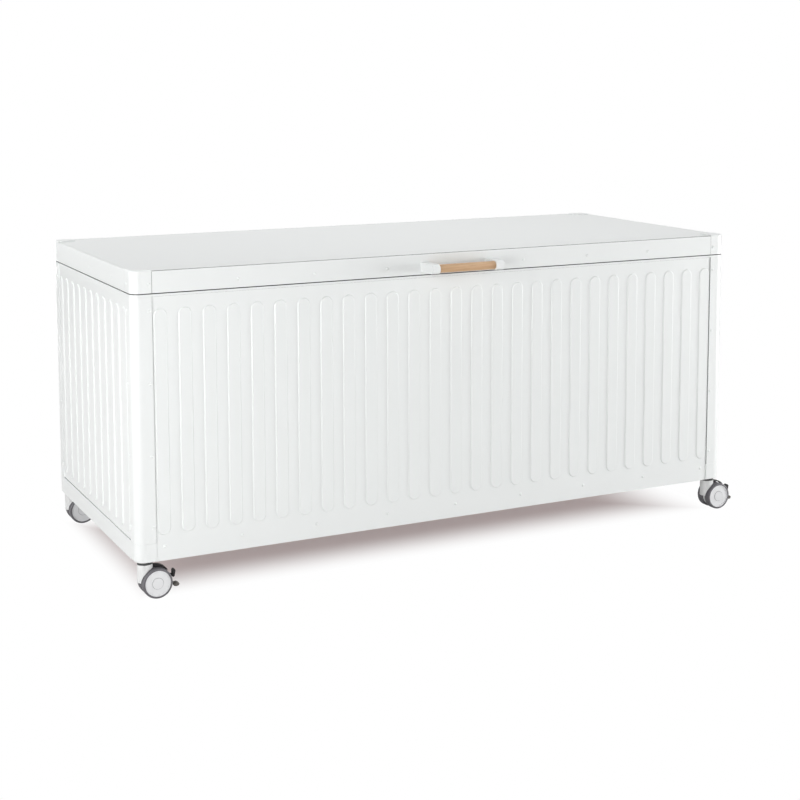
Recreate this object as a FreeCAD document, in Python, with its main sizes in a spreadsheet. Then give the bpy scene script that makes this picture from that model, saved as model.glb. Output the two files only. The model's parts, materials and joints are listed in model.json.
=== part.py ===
import FreeCAD, Part
import math
import os
import Sketcher
from FreeCAD import Placement, Rotation, Vector

# A long sheet-metal storage box on four twin-wheel castors, with a hinged lid.
# The origin is on the floor under the middle of the box. X runs along the box, the front faces -Y, Z is up.

# Driving sizes in millimetres, angles in degrees
SIZES = {
    # The box as a whole
    "box_length": 1750.0,
    "box_depth": 750.0,
    "castor_height": 93.0,
    "body_height": 655.5,
    "seam_gap": 2.5,
    "lid_height": 54.0,
    "corner_radius": 25.0,
    "corner_width": 50.0,
    "joint_gap": 0.3,
    # Corner posts and the panels held in their grooves
    "post_wall": 2.5,
    "sheet": 1.5,
    "groove_play": 0.1,
    "groove_room": 0.5,
    "panel_overlap": 15.0,
    "lip_wall": 2.0,
    "lip_setback": 2.0,
    # Raised slots pressed into the panels
    "slot_width": 34.0,
    "slot_side_margin": 3.5,
    "slot_low": 64.0,
    "slot_top_margin": 35.5,
    "slot_rise": 2.5,
    "slot_slope": 50.0,
    "front_slots": 27,
    "side_slots": 11,
    # Base frame and floor
    "base_height": 46.0,
    "base_wall": 3.0,
    "base_bottom": 8.0,
    "base_edge_radius": 3.0,
    "boss_radius": 11.0,
    "boss_height": 36.0,
    "rail_wall": 2.5,
    "rail_depth": 30.0,
    "floor_sheet": 2.0,
    "floor_setback": 7.0,
    "member_width": 40.0,
    "member_height": 25.0,
    "member_wall": 2.0,
    "member_spacing": 430.0,
    "side_panel_lift": 1.5,
    # Rim frame round the top of the body
    "rim_plate": 2.5,
    "rim_lip": 3.0,
    "rim_width": 32.0,
    "rim_leg": 2.0,
    "rim_leg_inset": 6.5,
    "rim_leg_height": 26.0,
    "rim_inner_radius": 6.0,
    # Seal on the rim
    "seal_inset": 4.0,
    "seal_width": 7.0,
    # Lid
    "lid_wall": 2.5,
    "lid_foot_width": 12.0,
    "lid_foot_wall": 2.0,
    "lid_ledge_width": 40.0,
    "lid_ledge_wall": 2.5,
    "lid_edge_radius": 2.0,
    "top_setback": 4.5,
    "cap_gap": 1.0,
    "cap_rise": 2.0,
    "cap_edge_radius": 4.0,
    "tongue_start": 30.0,
    "tongue_reach": 12.0,
    "tongue_low": 28.0,
    "tongue_height": 18.0,
    "tongue_wall": 2.5,
    "tongue_play": 0.1,
    "bar_height": 20.0,
    # Handle
    "handle_span": 167.0,
    "bracket_width": 22.0,
    "bracket_height": 24.0,
    "bracket_reach": 68.0,
    "bracket_radius": 10.5,
    "grip_radius": 11.0,
    "grip_reach": 52.0,
    "grip_end_radius": 2.5,
    "handle_rise": 20.0,
    # Rivets
    "rivet_head_radius": 4.5,
    "rivet_head_height": 2.0,
    "rivet_shank_radius": 2.0,
    "rivet_fit": 0.05,
    "rivet_tail_radius": 3.2,
    "rivet_tail": 1.5,
    "post_rivet_inset": 42.6,
    "post_rivet_low": 85.0,
    "post_rivet_top_margin": 40.4,
    "post_rivets": 4,
    "base_rivet_rise": 36.0,
    "base_rivets": 9,
    "lid_rivet_rise": 21.0,
    "lid_rivet_pitch": 202.0,
    "cap_rivet_inset": 43.0,
    # Butt hinges at the back
    "hinge_spacing": 600.0,
    "hinge_length": 90.0,
    "hinge_leaf": 2.0,
    "hinge_offset": 5.5,
    "knuckle_radius": 5.0,
    "knuckle_gap": 0.5,
    "pin_radius": 2.5,
    "pin_fit": 0.05,
    "pin_head_radius": 3.6,
    "pin_head": 1.5,
    "body_leaf_drop": 26.0,
    "leaf_gap": 5.0,
    "lid_leaf_height": 34.0,
    "hinge_rivet_reach": 30.0,
    # Gas struts, placed from the hinge axis
    "strut_inset": 47.0,
    "strut_body_forward": 125.0,
    "strut_body_drop": 255.0,
    "strut_lid_forward": 200.0,
    "strut_lid_rise": 20.0,
    "strut_radius": 9.0,
    "strut_bore": 7.4,
    "strut_guide": 15.0,
    "strut_foot": 12.0,
    "strut_top_gap": 22.0,
    "rod_radius": 4.0,
    "rod_fit": 0.05,
    "piston_length": 10.0,
    "piston_start": 24.0,
    "eye_radius": 8.0,
    "eye_width": 12.0,
    "stud_radius": 4.0,
    "stud_fit": 0.05,
    "stud_shoulder_radius": 6.0,
    "stud_side_gap": 0.4,
    "clip_thickness": 2.0,
    "bracket_plate": 3.0,
    "body_plate_width": 70.0,
    "body_plate_height": 50.0,
    "lid_plate_width": 36.0,
    "lid_plate_drop": 14.0,
    "lid_plate_setback": 3.0,
    "lid_flange": 24.0,
    # Castors
    "castor_inset": 27.0,
    "castor_trail": 25.0,
    "wheel_radius": 37.5,
    "wheel_width": 20.0,
    "wheel_start": 6.5,
    "tyre_thickness": 5.3,
    "tyre_edge_radius": 3.5,
    "tyre_fit": 0.05,
    "hub_recess": 1.0,
    "hub_dish_depth": 1.2,
    "hub_dish_radius": 29.5,
    "hub_cap_radius": 13.5,
    "hub_boss_radius": 7.0,
    "hub_boss": 1.2,
    "axle_radius": 4.0,
    "axle_fit": 0.05,
    "axle_half": 22.0,
    "axle_end_room": 0.5,
    "web_half": 5.3,
    "web_radius": 32.0,
    "column_radius": 19.0,
    "column_low": 40.0,
    "collar_height": 8.0,
    "collar_gap": 0.4,
    "collar_radius": 18.6,
    "kingpin_radius": 5.0,
    "kingpin_fit": 0.05,
    "kingpin_down": 12.0,
    "kingpin_up": 32.0,
    "socket_room": 1.0,
    "well_gap": 1.5,
    # Brake pedals of the front castors, placed from the axle
    "pedal_pivot_out": 20.7,
    "pedal_pivot_up": 7.5,
    "pedal_pin_radius": 2.0,
    "pedal_pin_fit": 0.05,
    "pedal_plate": 4.4,
    "pedal_slot": 5.2,
    "pedal_slot_start": 10.0,
    "pedal_hub_radius": 6.5,
    "pedal_width": 12.4,
    "pedal_edge_radius": 1.2,
}

doc = FreeCAD.newDocument("StorageBox")
sheet = doc.addObject("Spreadsheet::Sheet", "Sizes")
for row, (alias, number) in enumerate(SIZES.items(), start=1):
    sheet.set("A%d" % row, alias)
    sheet.set("B%d" % row, str(number))
    sheet.setAlias("B%d" % row, alias)
doc.recompute()


# Measures carry a value and the expression that gives it


class Measure:
    """A size worked out from the sheet, with the expression that binds it there."""

    def __init__(self, value, text):
        self.value = value
        self.text = text

    def joined(self, sign, other, value):
        return Measure(value, "(" + self.text + " " + sign + " " + text_of(other) + ")")

    def __add__(self, other):
        return self.joined("+", other, self.value + worth(other))

    def __sub__(self, other):
        return self.joined("-", other, self.value - worth(other))

    def __mul__(self, other):
        return self.joined("*", other, self.value * worth(other))

    def __truediv__(self, other):
        return self.joined("/", other, self.value / worth(other))

    def __neg__(self):
        return Measure(-self.value, "(0 - " + self.text + ")")


def worth(measure):
    """The number behind a measure or a plain number."""
    return measure.value if isinstance(measure, Measure) else measure


def text_of(measure):
    """The expression of a measure, or a plain number in brackets."""
    return measure.text if isinstance(measure, Measure) else "(" + str(measure) + ")"


def size(alias):
    """One driving size from the sheet."""
    return Measure(float(getattr(sheet, alias)), "Sizes." + alias)


def hypotenuse(across, along):
    """The straight distance over two legs."""
    value = math.hypot(across.value, along.value)
    return Measure(value, "sqrt(" + across.text + "^2 + " + along.text + "^2)")


ZERO = size("joint_gap") * 0

# Levels and half sizes that several pieces share
half_length = size("box_length") / 2
half_depth = size("box_depth") / 2
body_bottom = size("castor_height")
base_top = body_bottom + size("base_height")
rim_top = body_bottom + size("body_height")
rim_under = rim_top - size("rim_plate")
rim_lip_bottom = rim_under - size("rim_lip")
rim_leg_bottom = rim_under - size("rim_leg_height")
lid_bottom = rim_top + size("seam_gap")
lid_top = lid_bottom + size("lid_height")
top_sheet_under = lid_top - size("sheet")
ledge_under = top_sheet_under - size("lid_ledge_wall")
panel_face = size("post_wall")
panel_back = panel_face + size("sheet")
hinge_back = half_depth + size("hinge_offset")
hinge_level = rim_top + size("seam_gap") / 2
body_leaf_top = hinge_level - size("knuckle_radius") - size("knuckle_gap")
lid_leaf_low = lid_bottom + size("leaf_gap")
axle_level = size("wheel_radius")

# Each upright face of the box: name, outward direction and turn about Z from the front
FACES = (
    ("front", 0, -1, 0),
    ("right", 1, 0, 90),
    ("back", 0, 1, 180),
    ("left", -1, 0, 270),
)

# Each upright corner of the box: name, side in X, side in Y and turn about Z from the front left
CORNERS = (
    ("front_left", -1, -1, 0),
    ("front_right", 1, -1, 90),
    ("back_right", 1, 1, 180),
    ("back_left", -1, 1, 270),
)

pieces = {}


# Helpers that draw, extrude, round and place


def put(item, path, measure):
    """Sets a property and binds it to the sheet where it comes from there."""
    setattr(item, path, worth(measure))
    if isinstance(measure, Measure):
        item.setExpression(path, measure.text)


def place(item, x, y, z, rotation=None):
    """Places an object, its position bound to the sheet."""
    item.Placement = Placement(Vector(worth(x), worth(y), worth(z)), rotation or Rotation())
    for path, measure in ((".Placement.Base.x", x), (".Placement.Base.y", y), (".Placement.Base.z", z)):
        if isinstance(measure, Measure):
            item.setExpression(path, measure.text)


def turned(angle):
    """A turn about the upright axis."""
    return Rotation(Vector(0, 0, 1), angle)


def keep(name, item):
    """Names an object as a finished piece."""
    item.Label = name
    pieces[name] = item
    return item


def group(name, items):
    """Several solids that share one name."""
    item = doc.addObject("Part::Compound", name)
    item.Links = items
    return keep(name, item)


def new_body(name):
    """An empty body."""
    return doc.addObject("PartDesign::Body", name + "_body")


def drawing(body, role, lift=None):
    """A sketch on one of the body's own planes, lifted along the plane's normal."""
    sketch = body.newObject("Sketcher::SketchObject", body.Name + "_sketch")
    plane = next(item for item in body.Origin.OriginFeatures if item.Role == role)
    sketch.AttachmentSupport = [(plane, "")]
    sketch.MapMode = "FlatFace"
    if lift is not None:
        sketch.AttachmentOffset = Placement(Vector(0, 0, worth(lift)), Rotation())
        sketch.setExpression(".AttachmentOffset.Base.z", text_of(lift))
    return sketch


def pin_point(sketch, edge, end, x, y):
    """Ties a point of an edge to the sheet by its two coordinates."""
    for kind, measure in (("DistanceX", x), ("DistanceY", y)):
        index = sketch.addConstraint(Sketcher.Constraint(kind, -1, 1, edge, end, worth(measure)))
        if isinstance(measure, Measure):
            sketch.setExpression("Constraints[%d]" % index, measure.text)


def polygon(sketch, points):
    """A closed outline of straight edges."""
    corners = [Vector(worth(x), worth(y), 0) for x, y in points]
    count = len(points)
    first = sketch.GeometryCount
    for i in range(count):
        sketch.addGeometry(Part.LineSegment(corners[i], corners[(i + 1) % count]), False)
    for i in range(count):
        follower = first + (i + 1) % count
        sketch.addConstraint(Sketcher.Constraint("Coincident", first + i, 2, follower, 1))
    for i, (x, y) in enumerate(points):
        pin_point(sketch, first + i, 1, x, y)
    return sketch


def rectangle(sketch, low, high):
    """A rectangle between two opposite corners."""
    return polygon(sketch, [low, (high[0], low[1]), high, (low[0], high[1])])


def radius_of(sketch, edge, radius):
    """Ties the radius of a circle or arc to the sheet."""
    index = sketch.addConstraint(Sketcher.Constraint("Radius", edge, worth(radius)))
    sketch.setExpression("Constraints[%d]" % index, text_of(radius))


def circle(sketch, x, y, radius):
    """A circle."""
    centre = Vector(worth(x), worth(y), 0)
    edge = sketch.addGeometry(Part.Circle(centre, Vector(0, 0, 1), worth(radius)), False)
    pin_point(sketch, edge, 3, x, y)
    radius_of(sketch, edge, radius)
    return sketch


def upright_slot(sketch, x, low, high, radius):
    """A slot outline with round ends, its long axis upright in the sketch."""
    bottom = low + radius
    top = high - radius
    left_x, right_x, mid_x = worth(x - radius), worth(x + radius), worth(x)
    low_y, high_y = worth(bottom), worth(top)
    up = Vector(0, 0, 1)
    lower_circle = Part.Circle(Vector(mid_x, low_y, 0), up, worth(radius))
    upper_circle = Part.Circle(Vector(mid_x, high_y, 0), up, worth(radius))
    sketch.addGeometry(Part.LineSegment(Vector(right_x, low_y, 0), Vector(right_x, high_y, 0)), False)
    sketch.addGeometry(Part.ArcOfCircle(upper_circle, 0, math.pi), False)
    sketch.addGeometry(Part.LineSegment(Vector(left_x, high_y, 0), Vector(left_x, low_y, 0)), False)
    sketch.addGeometry(Part.ArcOfCircle(lower_circle, math.pi, 2 * math.pi), False)
    for i in range(4):
        sketch.addConstraint(Sketcher.Constraint("Tangent", i, 2, (i + 1) % 4, 1))
    pin_point(sketch, 1, 3, x, top)
    pin_point(sketch, 3, 3, x, bottom)
    radius_of(sketch, 1, radius)
    sketch.addConstraint(Sketcher.Constraint("Equal", 1, 3))
    return sketch


def pad(body, sketch, length, symmetric=False, taper=None):
    """Adds material along the sketch's normal."""
    item = body.newObject("PartDesign::Pad", body.Name + "_pad")
    item.Profile = sketch
    item.SideType = "Symmetric" if symmetric else "One side"
    put(item, "Length", length)
    if taper is not None:
        put(item, "TaperAngle", taper)
    return item


def pocket(body, sketch, length, forward=False, symmetric=False, taper=None):
    """Removes material against the sketch's normal, or along it where forward is set."""
    item = body.newObject("PartDesign::Pocket", body.Name + "_pocket")
    item.Profile = sketch
    item.SideType = "Symmetric" if symmetric else "One side"
    item.Reversed = forward
    put(item, "Length", length)
    if taper is not None:
        put(item, "TaperAngle", taper)
    return item


def round_edges(body, base, radius, wanted):
    """Rounds the edges of a feature that the test picks."""
    doc.recompute()
    names = ["Edge%d" % (i + 1) for i, edge in enumerate(base.Shape.Edges) if wanted(edge)]
    item = body.newObject("PartDesign::Fillet", body.Name + "_fillet")
    item.Base = (base, names)
    put(item, "Radius", radius)
    return item


def upright_at(x, y):
    """A test for an upright edge that passes through a point of the plan."""

    def wanted(edge):
        ends = [vertex.Point for vertex in edge.Vertexes]
        if len(ends) != 2 or abs(ends[0].z - ends[1].z) < 1.0:
            return False
        return all(abs(end.x - worth(x)) < 0.01 and abs(end.y - worth(y)) < 0.01 for end in ends)

    return wanted


def upright(edge):
    """A test for any upright straight edge."""
    ends = [vertex.Point for vertex in edge.Vertexes]
    return len(ends) == 2 and math.hypot(ends[0].x - ends[1].x, ends[0].y - ends[1].y) < 0.01


def level_at(z):
    """A test for an edge that lies wholly at one height."""

    def wanted(edge):
        box = edge.BoundBox
        return abs(box.ZMin - worth(z)) < 0.01 and abs(box.ZMax - worth(z)) < 0.01

    return wanted


def block(name, low, high):
    """A box between two opposite corners, its low corner's values the smaller ones."""
    item = doc.addObject("Part::Box", name)
    for path, start, end in zip(("Length", "Width", "Height"), low, high):
        put(item, path, end - start)
    place(item, *low)
    return item


def rod(name, radius, length, x, y, z, along):
    """A cylinder that starts at a point and runs along an axis."""
    item = doc.addObject("Part::Cylinder", name)
    put(item, "Radius", radius)
    put(item, "Height", length)
    place(item, x, y, z, Rotation(Vector(0, 0, 1), along))
    return item


def fused(name, items):
    """Several objects made one solid."""
    item = doc.addObject("Part::MultiFuse", name)
    item.Shapes = items
    item.Refine = True
    return item


def less(name, base, tool):
    """One object with another cut out of it."""
    item = doc.addObject("Part::Cut", name)
    item.Base = base
    item.Tool = tool
    return item


def slab(name, inset, radius, bottom, top):
    """A plate with the box's plan, drawn in by an inset, its upright corners rounded."""
    body = new_body(name)
    x = half_length - inset
    y = half_depth - inset
    plate = pad(body, rectangle(drawing(body, "XY_Plane", bottom), (-x, -y), (x, y)), top - bottom)
    round_edges(body, plate, radius, upright)
    return body


# Posts, base corners and rails of the body


def corner_post(corner, side_x, side_y, turn):
    """A rounded angle with a groove on each flange that holds the edge of a panel."""
    name = "corner_post_" + corner
    body = new_body(name)
    wide = size("corner_width")
    wall = size("post_wall")
    lip_near = panel_back + size("groove_play")
    lip_far = lip_near + size("lip_wall")
    groove_end = wide - size("panel_overlap") - size("groove_room")
    lip_root = groove_end - size("lip_wall")
    lip_end = wide - size("lip_setback")
    half_outline = [
        (wide, ZERO),
        (wide, wall),
        (groove_end, wall),
        (groove_end, lip_near),
        (lip_end, lip_near),
        (lip_end, lip_far),
        (lip_root, lip_far),
        (lip_root, wall),
    ]
    outline = half_outline + [(wall, wall)] + [(y, x) for x, y in reversed(half_outline)] + [(ZERO, ZERO)]
    low = base_top + size("joint_gap")
    high = rim_lip_bottom - size("joint_gap")
    angle = pad(body, polygon(drawing(body, "XY_Plane", low), outline), high - low)
    inside = round_edges(body, angle, size("corner_radius") - wall, upright_at(wall, wall))
    round_edges(body, inside, size("corner_radius"), upright_at(0, 0))
    place(body, half_length * side_x, half_depth * side_y, 0, turned(turn))
    return keep(name, less(name, body, body_rivet_holes))


def base_corner(corner, side_x, side_y, turn):
    """A cup-shaped corner casting with a boss for the castor's kingpin."""
    body = new_body("base_corner_" + corner)
    wide = size("corner_width")
    wall = size("base_wall")
    inset = size("castor_inset")
    outer = pad(
        body,
        rectangle(drawing(body, "XY_Plane", body_bottom), (ZERO, ZERO), (wide, wide)),
        size("base_height"),
    )
    cup = pocket(
        body,
        rectangle(drawing(body, "XY_Plane", base_top), (wall, wall), (wide - wall, wide - wall)),
        size("base_height") - size("base_bottom"),
    )
    inside = round_edges(body, cup, size("corner_radius") - wall, upright_at(wall, wall))
    rounded = round_edges(body, inside, size("corner_radius"), upright_at(0, 0))

    def outer_low(edge):
        box = edge.BoundBox
        if abs(box.ZMax - body_bottom.value) > 0.01:
            return False
        return not (box.XMin > wide.value - 0.01 or box.YMin > wide.value - 0.01)

    round_edges(body, rounded, size("base_edge_radius"), outer_low)
    boss_sketch = drawing(body, "XY_Plane", body_bottom + size("base_bottom") / 2)
    pad(body, circle(boss_sketch, inset, inset, size("boss_radius")), size("boss_height") - size("base_bottom") / 2)
    bore_radius = size("kingpin_radius") + size("kingpin_fit")
    bore_sketch = drawing(body, "XY_Plane", body_bottom)
    pocket(body, circle(bore_sketch, inset, inset, bore_radius), size("base_height"), forward=True)
    place(body, half_length * side_x, half_depth * side_y, 0, turned(turn))
    return body


def base_rail(face, along_x, turn):
    """A channel between two base corners. Front and back sit behind their panels, the sides show."""
    body = new_body("base_rail_" + face)
    hidden = panel_back if turn % 180 == 0 else ZERO
    outer = (half_depth if turn % 180 == 0 else half_length) - hidden
    inner = outer - size("rail_depth")
    wall = size("rail_wall")
    outline = [
        (-outer, body_bottom),
        (-inner, body_bottom),
        (-inner, body_bottom + wall),
        (-(outer - wall), body_bottom + wall),
        (-(outer - wall), base_top - wall),
        (-inner, base_top - wall),
        (-inner, base_top),
        (-outer, base_top),
    ]
    run = (along_x - size("corner_width") - size("joint_gap")) * 2
    pad(body, polygon(drawing(body, "YZ_Plane"), outline), run, symmetric=True)
    body.Placement = Placement(Vector(), turned(turn))
    name = "base_rail_" + face
    return keep(name, less(name, body, body_rivet_holes))


# Panels with raised slots


def slot_run(half_width):
    """From the first slot's centre line to the last one's, across a face between its posts."""
    return (half_width - size("corner_width") - size("slot_side_margin")) * 2 - size("slot_width")


def panel(face, out_x, out_y, turn):
    """A sheet with a row of raised upright slots, drawn flat and stood up."""
    long_face = turn % 180 == 0
    half_width = half_length if long_face else half_depth
    half_across = half_depth if long_face else half_length
    count = size("front_slots" if long_face else "side_slots")
    edge = half_width - size("corner_width") + size("panel_overlap")
    top = rim_under - size("joint_gap")
    name = face + "_panel"
    body = new_body(name)
    if long_face:
        notch = half_width - size("corner_width") - size("joint_gap")
        step = base_top + size("joint_gap")
        half_outline = [(notch, body_bottom), (notch, step), (edge, step), (edge, top)]
        outline = half_outline + [(-x, z) for x, z in reversed(half_outline)]
        pad(body, polygon(drawing(body, "XY_Plane"), outline), size("sheet"))
    else:
        low = base_top + size("side_panel_lift")
        pad(body, rectangle(drawing(body, "XY_Plane"), (-edge, low), (edge, top)), size("sheet"))
    start = -slot_run(half_width) / 2
    low = body_bottom + size("slot_low")
    high = rim_top - size("slot_top_margin")
    radius = size("slot_width") / 2
    rise = size("slot_rise")
    slope = -size("slot_slope")
    raised = pad(
        body,
        upright_slot(drawing(body, "XY_Plane", size("sheet")), start, low, high, radius),
        rise,
        taper=slope,
    )
    draw_in = size("sheet")
    hollow = pocket(
        body,
        upright_slot(drawing(body, "XY_Plane"), start, low + draw_in, high - draw_in, radius - draw_in),
        rise,
        forward=True,
        taper=slope,
    )
    row = body.newObject("PartDesign::LinearPattern", name + "_row")
    row.Originals = [raised, hollow]
    axis = next(item for item in body.Origin.OriginFeatures if item.Role == "X_Axis")
    row.Direction = (axis, [""])
    put(row, "Length", slot_run(half_width))
    row.Occurrences = int(count.value)
    row.setExpression("Occurrences", count.text)
    body.Tip = row
    stand = turned(turn) * Rotation(Vector(1, 0, 0), 90)
    out = half_across - panel_back
    place(body, out * out_x, out * out_y, 0, stand)
    return keep(name, less(name, body, body_rivet_holes))


# Floor, rim and seal


def floor_panel():
    """The flat floor, resting on the base rails and corners."""
    name = "floor_panel"
    item = slab(name, size("floor_setback"), size("corner_radius"), base_top, base_top + size("floor_sheet"))
    return keep(name, item)


def cross_member(name, x, top, height, half_run):
    """A channel, open downwards, that runs from front to back under a sheet."""
    body = new_body(name)
    half = size("member_width") / 2
    wall = size("member_wall")
    outline = [
        (x - half, top - height),
        (x - half + wall, top - height),
        (x - half + wall, top - wall),
        (x + half - wall, top - wall),
        (x + half - wall, top - height),
        (x + half, top - height),
        (x + half, top),
        (x - half, top),
    ]
    pad(body, polygon(drawing(body, "XZ_Plane"), outline), half_run * 2, symmetric=True)
    return body


def cross_members(name, top, height, half_run):
    """Three channels in a row, one in the middle."""
    bars = [
        cross_member(name + "_%d" % (i + 2), size("member_spacing") * i, top, height, half_run)
        for i in (-1, 0, 1)
    ]
    return group(name, bars)


def rim_frame():
    """The frame round the top: a flat plate, a short outer lip and two legs that hang inside."""
    inset = size("rim_leg_inset")
    leg = size("rim_leg")
    wide = size("rim_width")
    corner = size("corner_radius")
    wall = size("post_wall")
    small = size("rim_inner_radius")
    cover = less(
        "rim_cover",
        slab("rim_plate", ZERO, corner, rim_lip_bottom, rim_top),
        slab("rim_lip_inside", wall, corner - wall, rim_lip_bottom, rim_under),
    )
    outer_leg = less(
        "rim_outer_leg",
        slab("rim_outer_leg_out", inset, corner - inset, rim_leg_bottom, rim_under),
        slab("rim_outer_leg_in", inset + leg, corner - inset - leg, rim_leg_bottom, rim_under),
    )
    inner_leg = slab("rim_inner_leg", wide - leg, small + leg, rim_leg_bottom, rim_under)
    whole = fused("rim_whole", [cover, outer_leg, inner_leg])
    mouth = slab("rim_mouth", wide, small, rim_leg_bottom, rim_top)
    return keep("rim_frame", less("rim_frame", whole, mouth))


def rim_seal():
    """The rubber seal on the rim, under the foot of the lid rails."""
    outer = size("seal_inset")
    inner = outer + size("seal_width")
    corner = size("corner_radius")
    ring = less(
        "rim_seal",
        slab("rim_seal_out", outer, corner - outer, rim_top, lid_bottom),
        slab("rim_seal_in", inner, corner - inner, rim_top, lid_bottom),
    )
    return keep("rim_seal", ring)


# Lid


def lid_rail(face, along_x, turn):
    """A lid rail: an outer wall with a ledge for the top sheet and a foot on the seal."""
    name = "lid_rail_" + face
    body = new_body(name)
    outer = half_depth if turn % 180 == 0 else half_length
    wall = size("lid_wall")
    foot_top = lid_bottom + size("lid_foot_wall")
    ledge_tip = outer - size("lid_ledge_width")
    foot_tip = outer - size("lid_foot_width")
    outline = [
        (-outer, lid_bottom),
        (-foot_tip, lid_bottom),
        (-foot_tip, foot_top),
        (-(outer - wall), foot_top),
        (-(outer - wall), ledge_under),
        (-ledge_tip, ledge_under),
        (-ledge_tip, top_sheet_under),
        (-(outer - wall), top_sheet_under),
        (-(outer - wall), lid_top),
        (-outer, lid_top),
    ]
    run = (along_x - size("corner_width") - size("cap_gap")) * 2
    bar = pad(body, polygon(drawing(body, "YZ_Plane"), outline), run, symmetric=True)

    def outer_top(edge):
        box = edge.BoundBox
        return abs(box.ZMin - lid_top.value) < 0.01 and abs(box.YMax + outer.value) < 0.01 and box.XLength > 1

    round_edges(body, bar, size("lid_edge_radius"), outer_top)
    body.Placement = Placement(Vector(), turned(turn))
    return keep(name, less(name, body, lid_rivet_holes))


def lid_corner(corner, side_x, side_y, turn):
    """A corner cap of the lid, a little above the top sheet, with a tongue into each rail."""
    body = new_body("lid_corner_" + corner)
    wide = size("corner_width")
    wall = size("lid_wall")
    cap_top = lid_top + size("cap_rise")
    blank = pad(
        body,
        rectangle(drawing(body, "XY_Plane", lid_bottom), (ZERO, ZERO), (wide, wide)),
        cap_top - lid_bottom,
    )
    cup = pocket(
        body,
        rectangle(drawing(body, "XY_Plane", lid_bottom), (wall, wall), (wide * 2, wide * 2)),
        top_sheet_under - lid_bottom,
        forward=True,
    )
    inside = round_edges(body, cup, size("corner_radius") - wall, upright_at(wall, wall))
    rounded = round_edges(body, inside, size("corner_radius"), upright_at(0, 0))

    def outer_top(edge):
        box = edge.BoundBox
        if abs(box.ZMin - cap_top.value) > 0.01:
            return False
        return not (box.XMin > wide.value - 0.01 or box.YMin > wide.value - 0.01)

    round_edges(body, rounded, size("cap_edge_radius"), outer_top)
    start = size("tongue_start")
    tip = wide + size("tongue_reach")
    near = wall + size("tongue_play")
    far = near + size("tongue_wall")
    tongue = [(start, wall / 2), (wide, wall / 2), (wide, near), (tip, near), (tip, far), (start, far)]
    for points in (tongue, [(y, x) for x, y in reversed(tongue)]):
        outline = polygon(drawing(body, "XY_Plane", lid_bottom + size("tongue_low")), points)
        pad(body, outline, size("tongue_height"))
    place(body, half_length * side_x, half_depth * side_y, 0, turned(turn))
    return less("lid_cap_" + corner, body, lid_rivet_holes)


def lid_top_sheet():
    """The flat top, notched at its corners for the corner caps."""
    name = "lid_top_sheet"
    body = new_body(name)
    x = half_length - size("top_setback")
    y = half_depth - size("top_setback")
    notch_x = half_length - size("corner_width") - size("cap_gap")
    notch_y = half_depth - size("corner_width") - size("cap_gap")
    quarter = [(notch_x, y), (notch_x, notch_y), (x, notch_y)]
    right = [(a, -b) for a, b in quarter] + [(a, b) for a, b in reversed(quarter)]
    left = [(-a, b) for a, b in reversed(right)]
    pad(body, polygon(drawing(body, "XY_Plane", top_sheet_under), right + left), size("sheet"))
    return keep(name, body)


# Handle

handle_level = lid_bottom + size("handle_rise")


def handle_bracket(name, side):
    """One end bracket of the handle, standing out from the lid's front rail."""
    body = new_body(name)
    half = size("bracket_height") / 2
    root = -half_depth
    tip = -(half_depth + size("bracket_reach"))
    profile = rectangle(drawing(body, "YZ_Plane"), (tip, handle_level - half), (root, handle_level + half))
    blank = pad(body, profile, size("bracket_width"), symmetric=True)

    def outer_edge(edge):
        box = edge.BoundBox
        return abs(box.YMin - tip.value) < 0.01 and abs(box.YMax - tip.value) < 0.01 and box.XLength > 1

    round_edges(body, blank, size("bracket_radius"), outer_edge)
    centre = (size("handle_span") + size("bracket_width")) / 2
    place(body, centre * side, 0, 0)
    return body


def handle():
    """The wooden grip between its two brackets."""
    group("handle_brackets", [handle_bracket("handle_bracket_left", -1), handle_bracket("handle_bracket_right", 1)])
    body = new_body("handle_grip")
    centre_y = -(half_depth + size("grip_reach"))
    bar = pad(
        body,
        circle(drawing(body, "YZ_Plane"), centre_y, handle_level, size("grip_radius")),
        size("handle_span"),
        symmetric=True,
    )
    round_edges(body, bar, size("grip_end_radius"), lambda edge: edge.BoundBox.XLength < 0.01)
    keep("handle_grip", body)


# Rivets, placed by rows of position and outward direction


def rivet_row(face, out_x, out_y, distance, across, level):
    """One rivet's seat on an upright face: how far out, how far across and how high."""
    spot = Vector(
        out_x * worth(distance) - out_y * worth(across),
        out_y * worth(distance) + out_x * worth(across),
        worth(level),
    )
    return spot, Vector(out_x, out_y, 0)


def hinge_rivet_seats(level):
    """Two seats on each hinge leaf."""
    seats = []
    for step in (-1, 0, 1):
        for side in (-1, 1):
            across = size("hinge_spacing") * step + size("hinge_rivet_reach") * side
            seats.append(rivet_row("back", 0, 1, half_depth + size("hinge_leaf"), across, level))
    return seats


def body_rivet_seats():
    """Seats on the posts' flanges and along the bottom of the front and back panels."""
    seats = []
    for face, out_x, out_y, turn in FACES:
        long_face = turn % 180 == 0
        half_width = half_length if long_face else half_depth
        distance = half_depth if long_face else half_length
        low = body_bottom + size("post_rivet_low")
        spaces = int(worth(size("post_rivets"))) - 1
        for side in (-1, 1):
            for step in range(spaces + 1):
                across = (half_width - size("post_rivet_inset")) * side
                level = low + (rim_top - size("post_rivet_top_margin") - low) * (step / spaces)
                seats.append(rivet_row(face, out_x, out_y, distance, across, level))
        if long_face:
            gaps = int(worth(size("base_rivets"))) - 1
            for step in range(gaps + 1):
                across = slot_run(half_width) * (step / gaps - 0.5)
                level = body_bottom + size("base_rivet_rise")
                seats.append(rivet_row(face, out_x, out_y, distance - panel_face, across, level))
    return seats + hinge_rivet_seats(body_leaf_top - size("body_leaf_drop") / 2)


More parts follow.
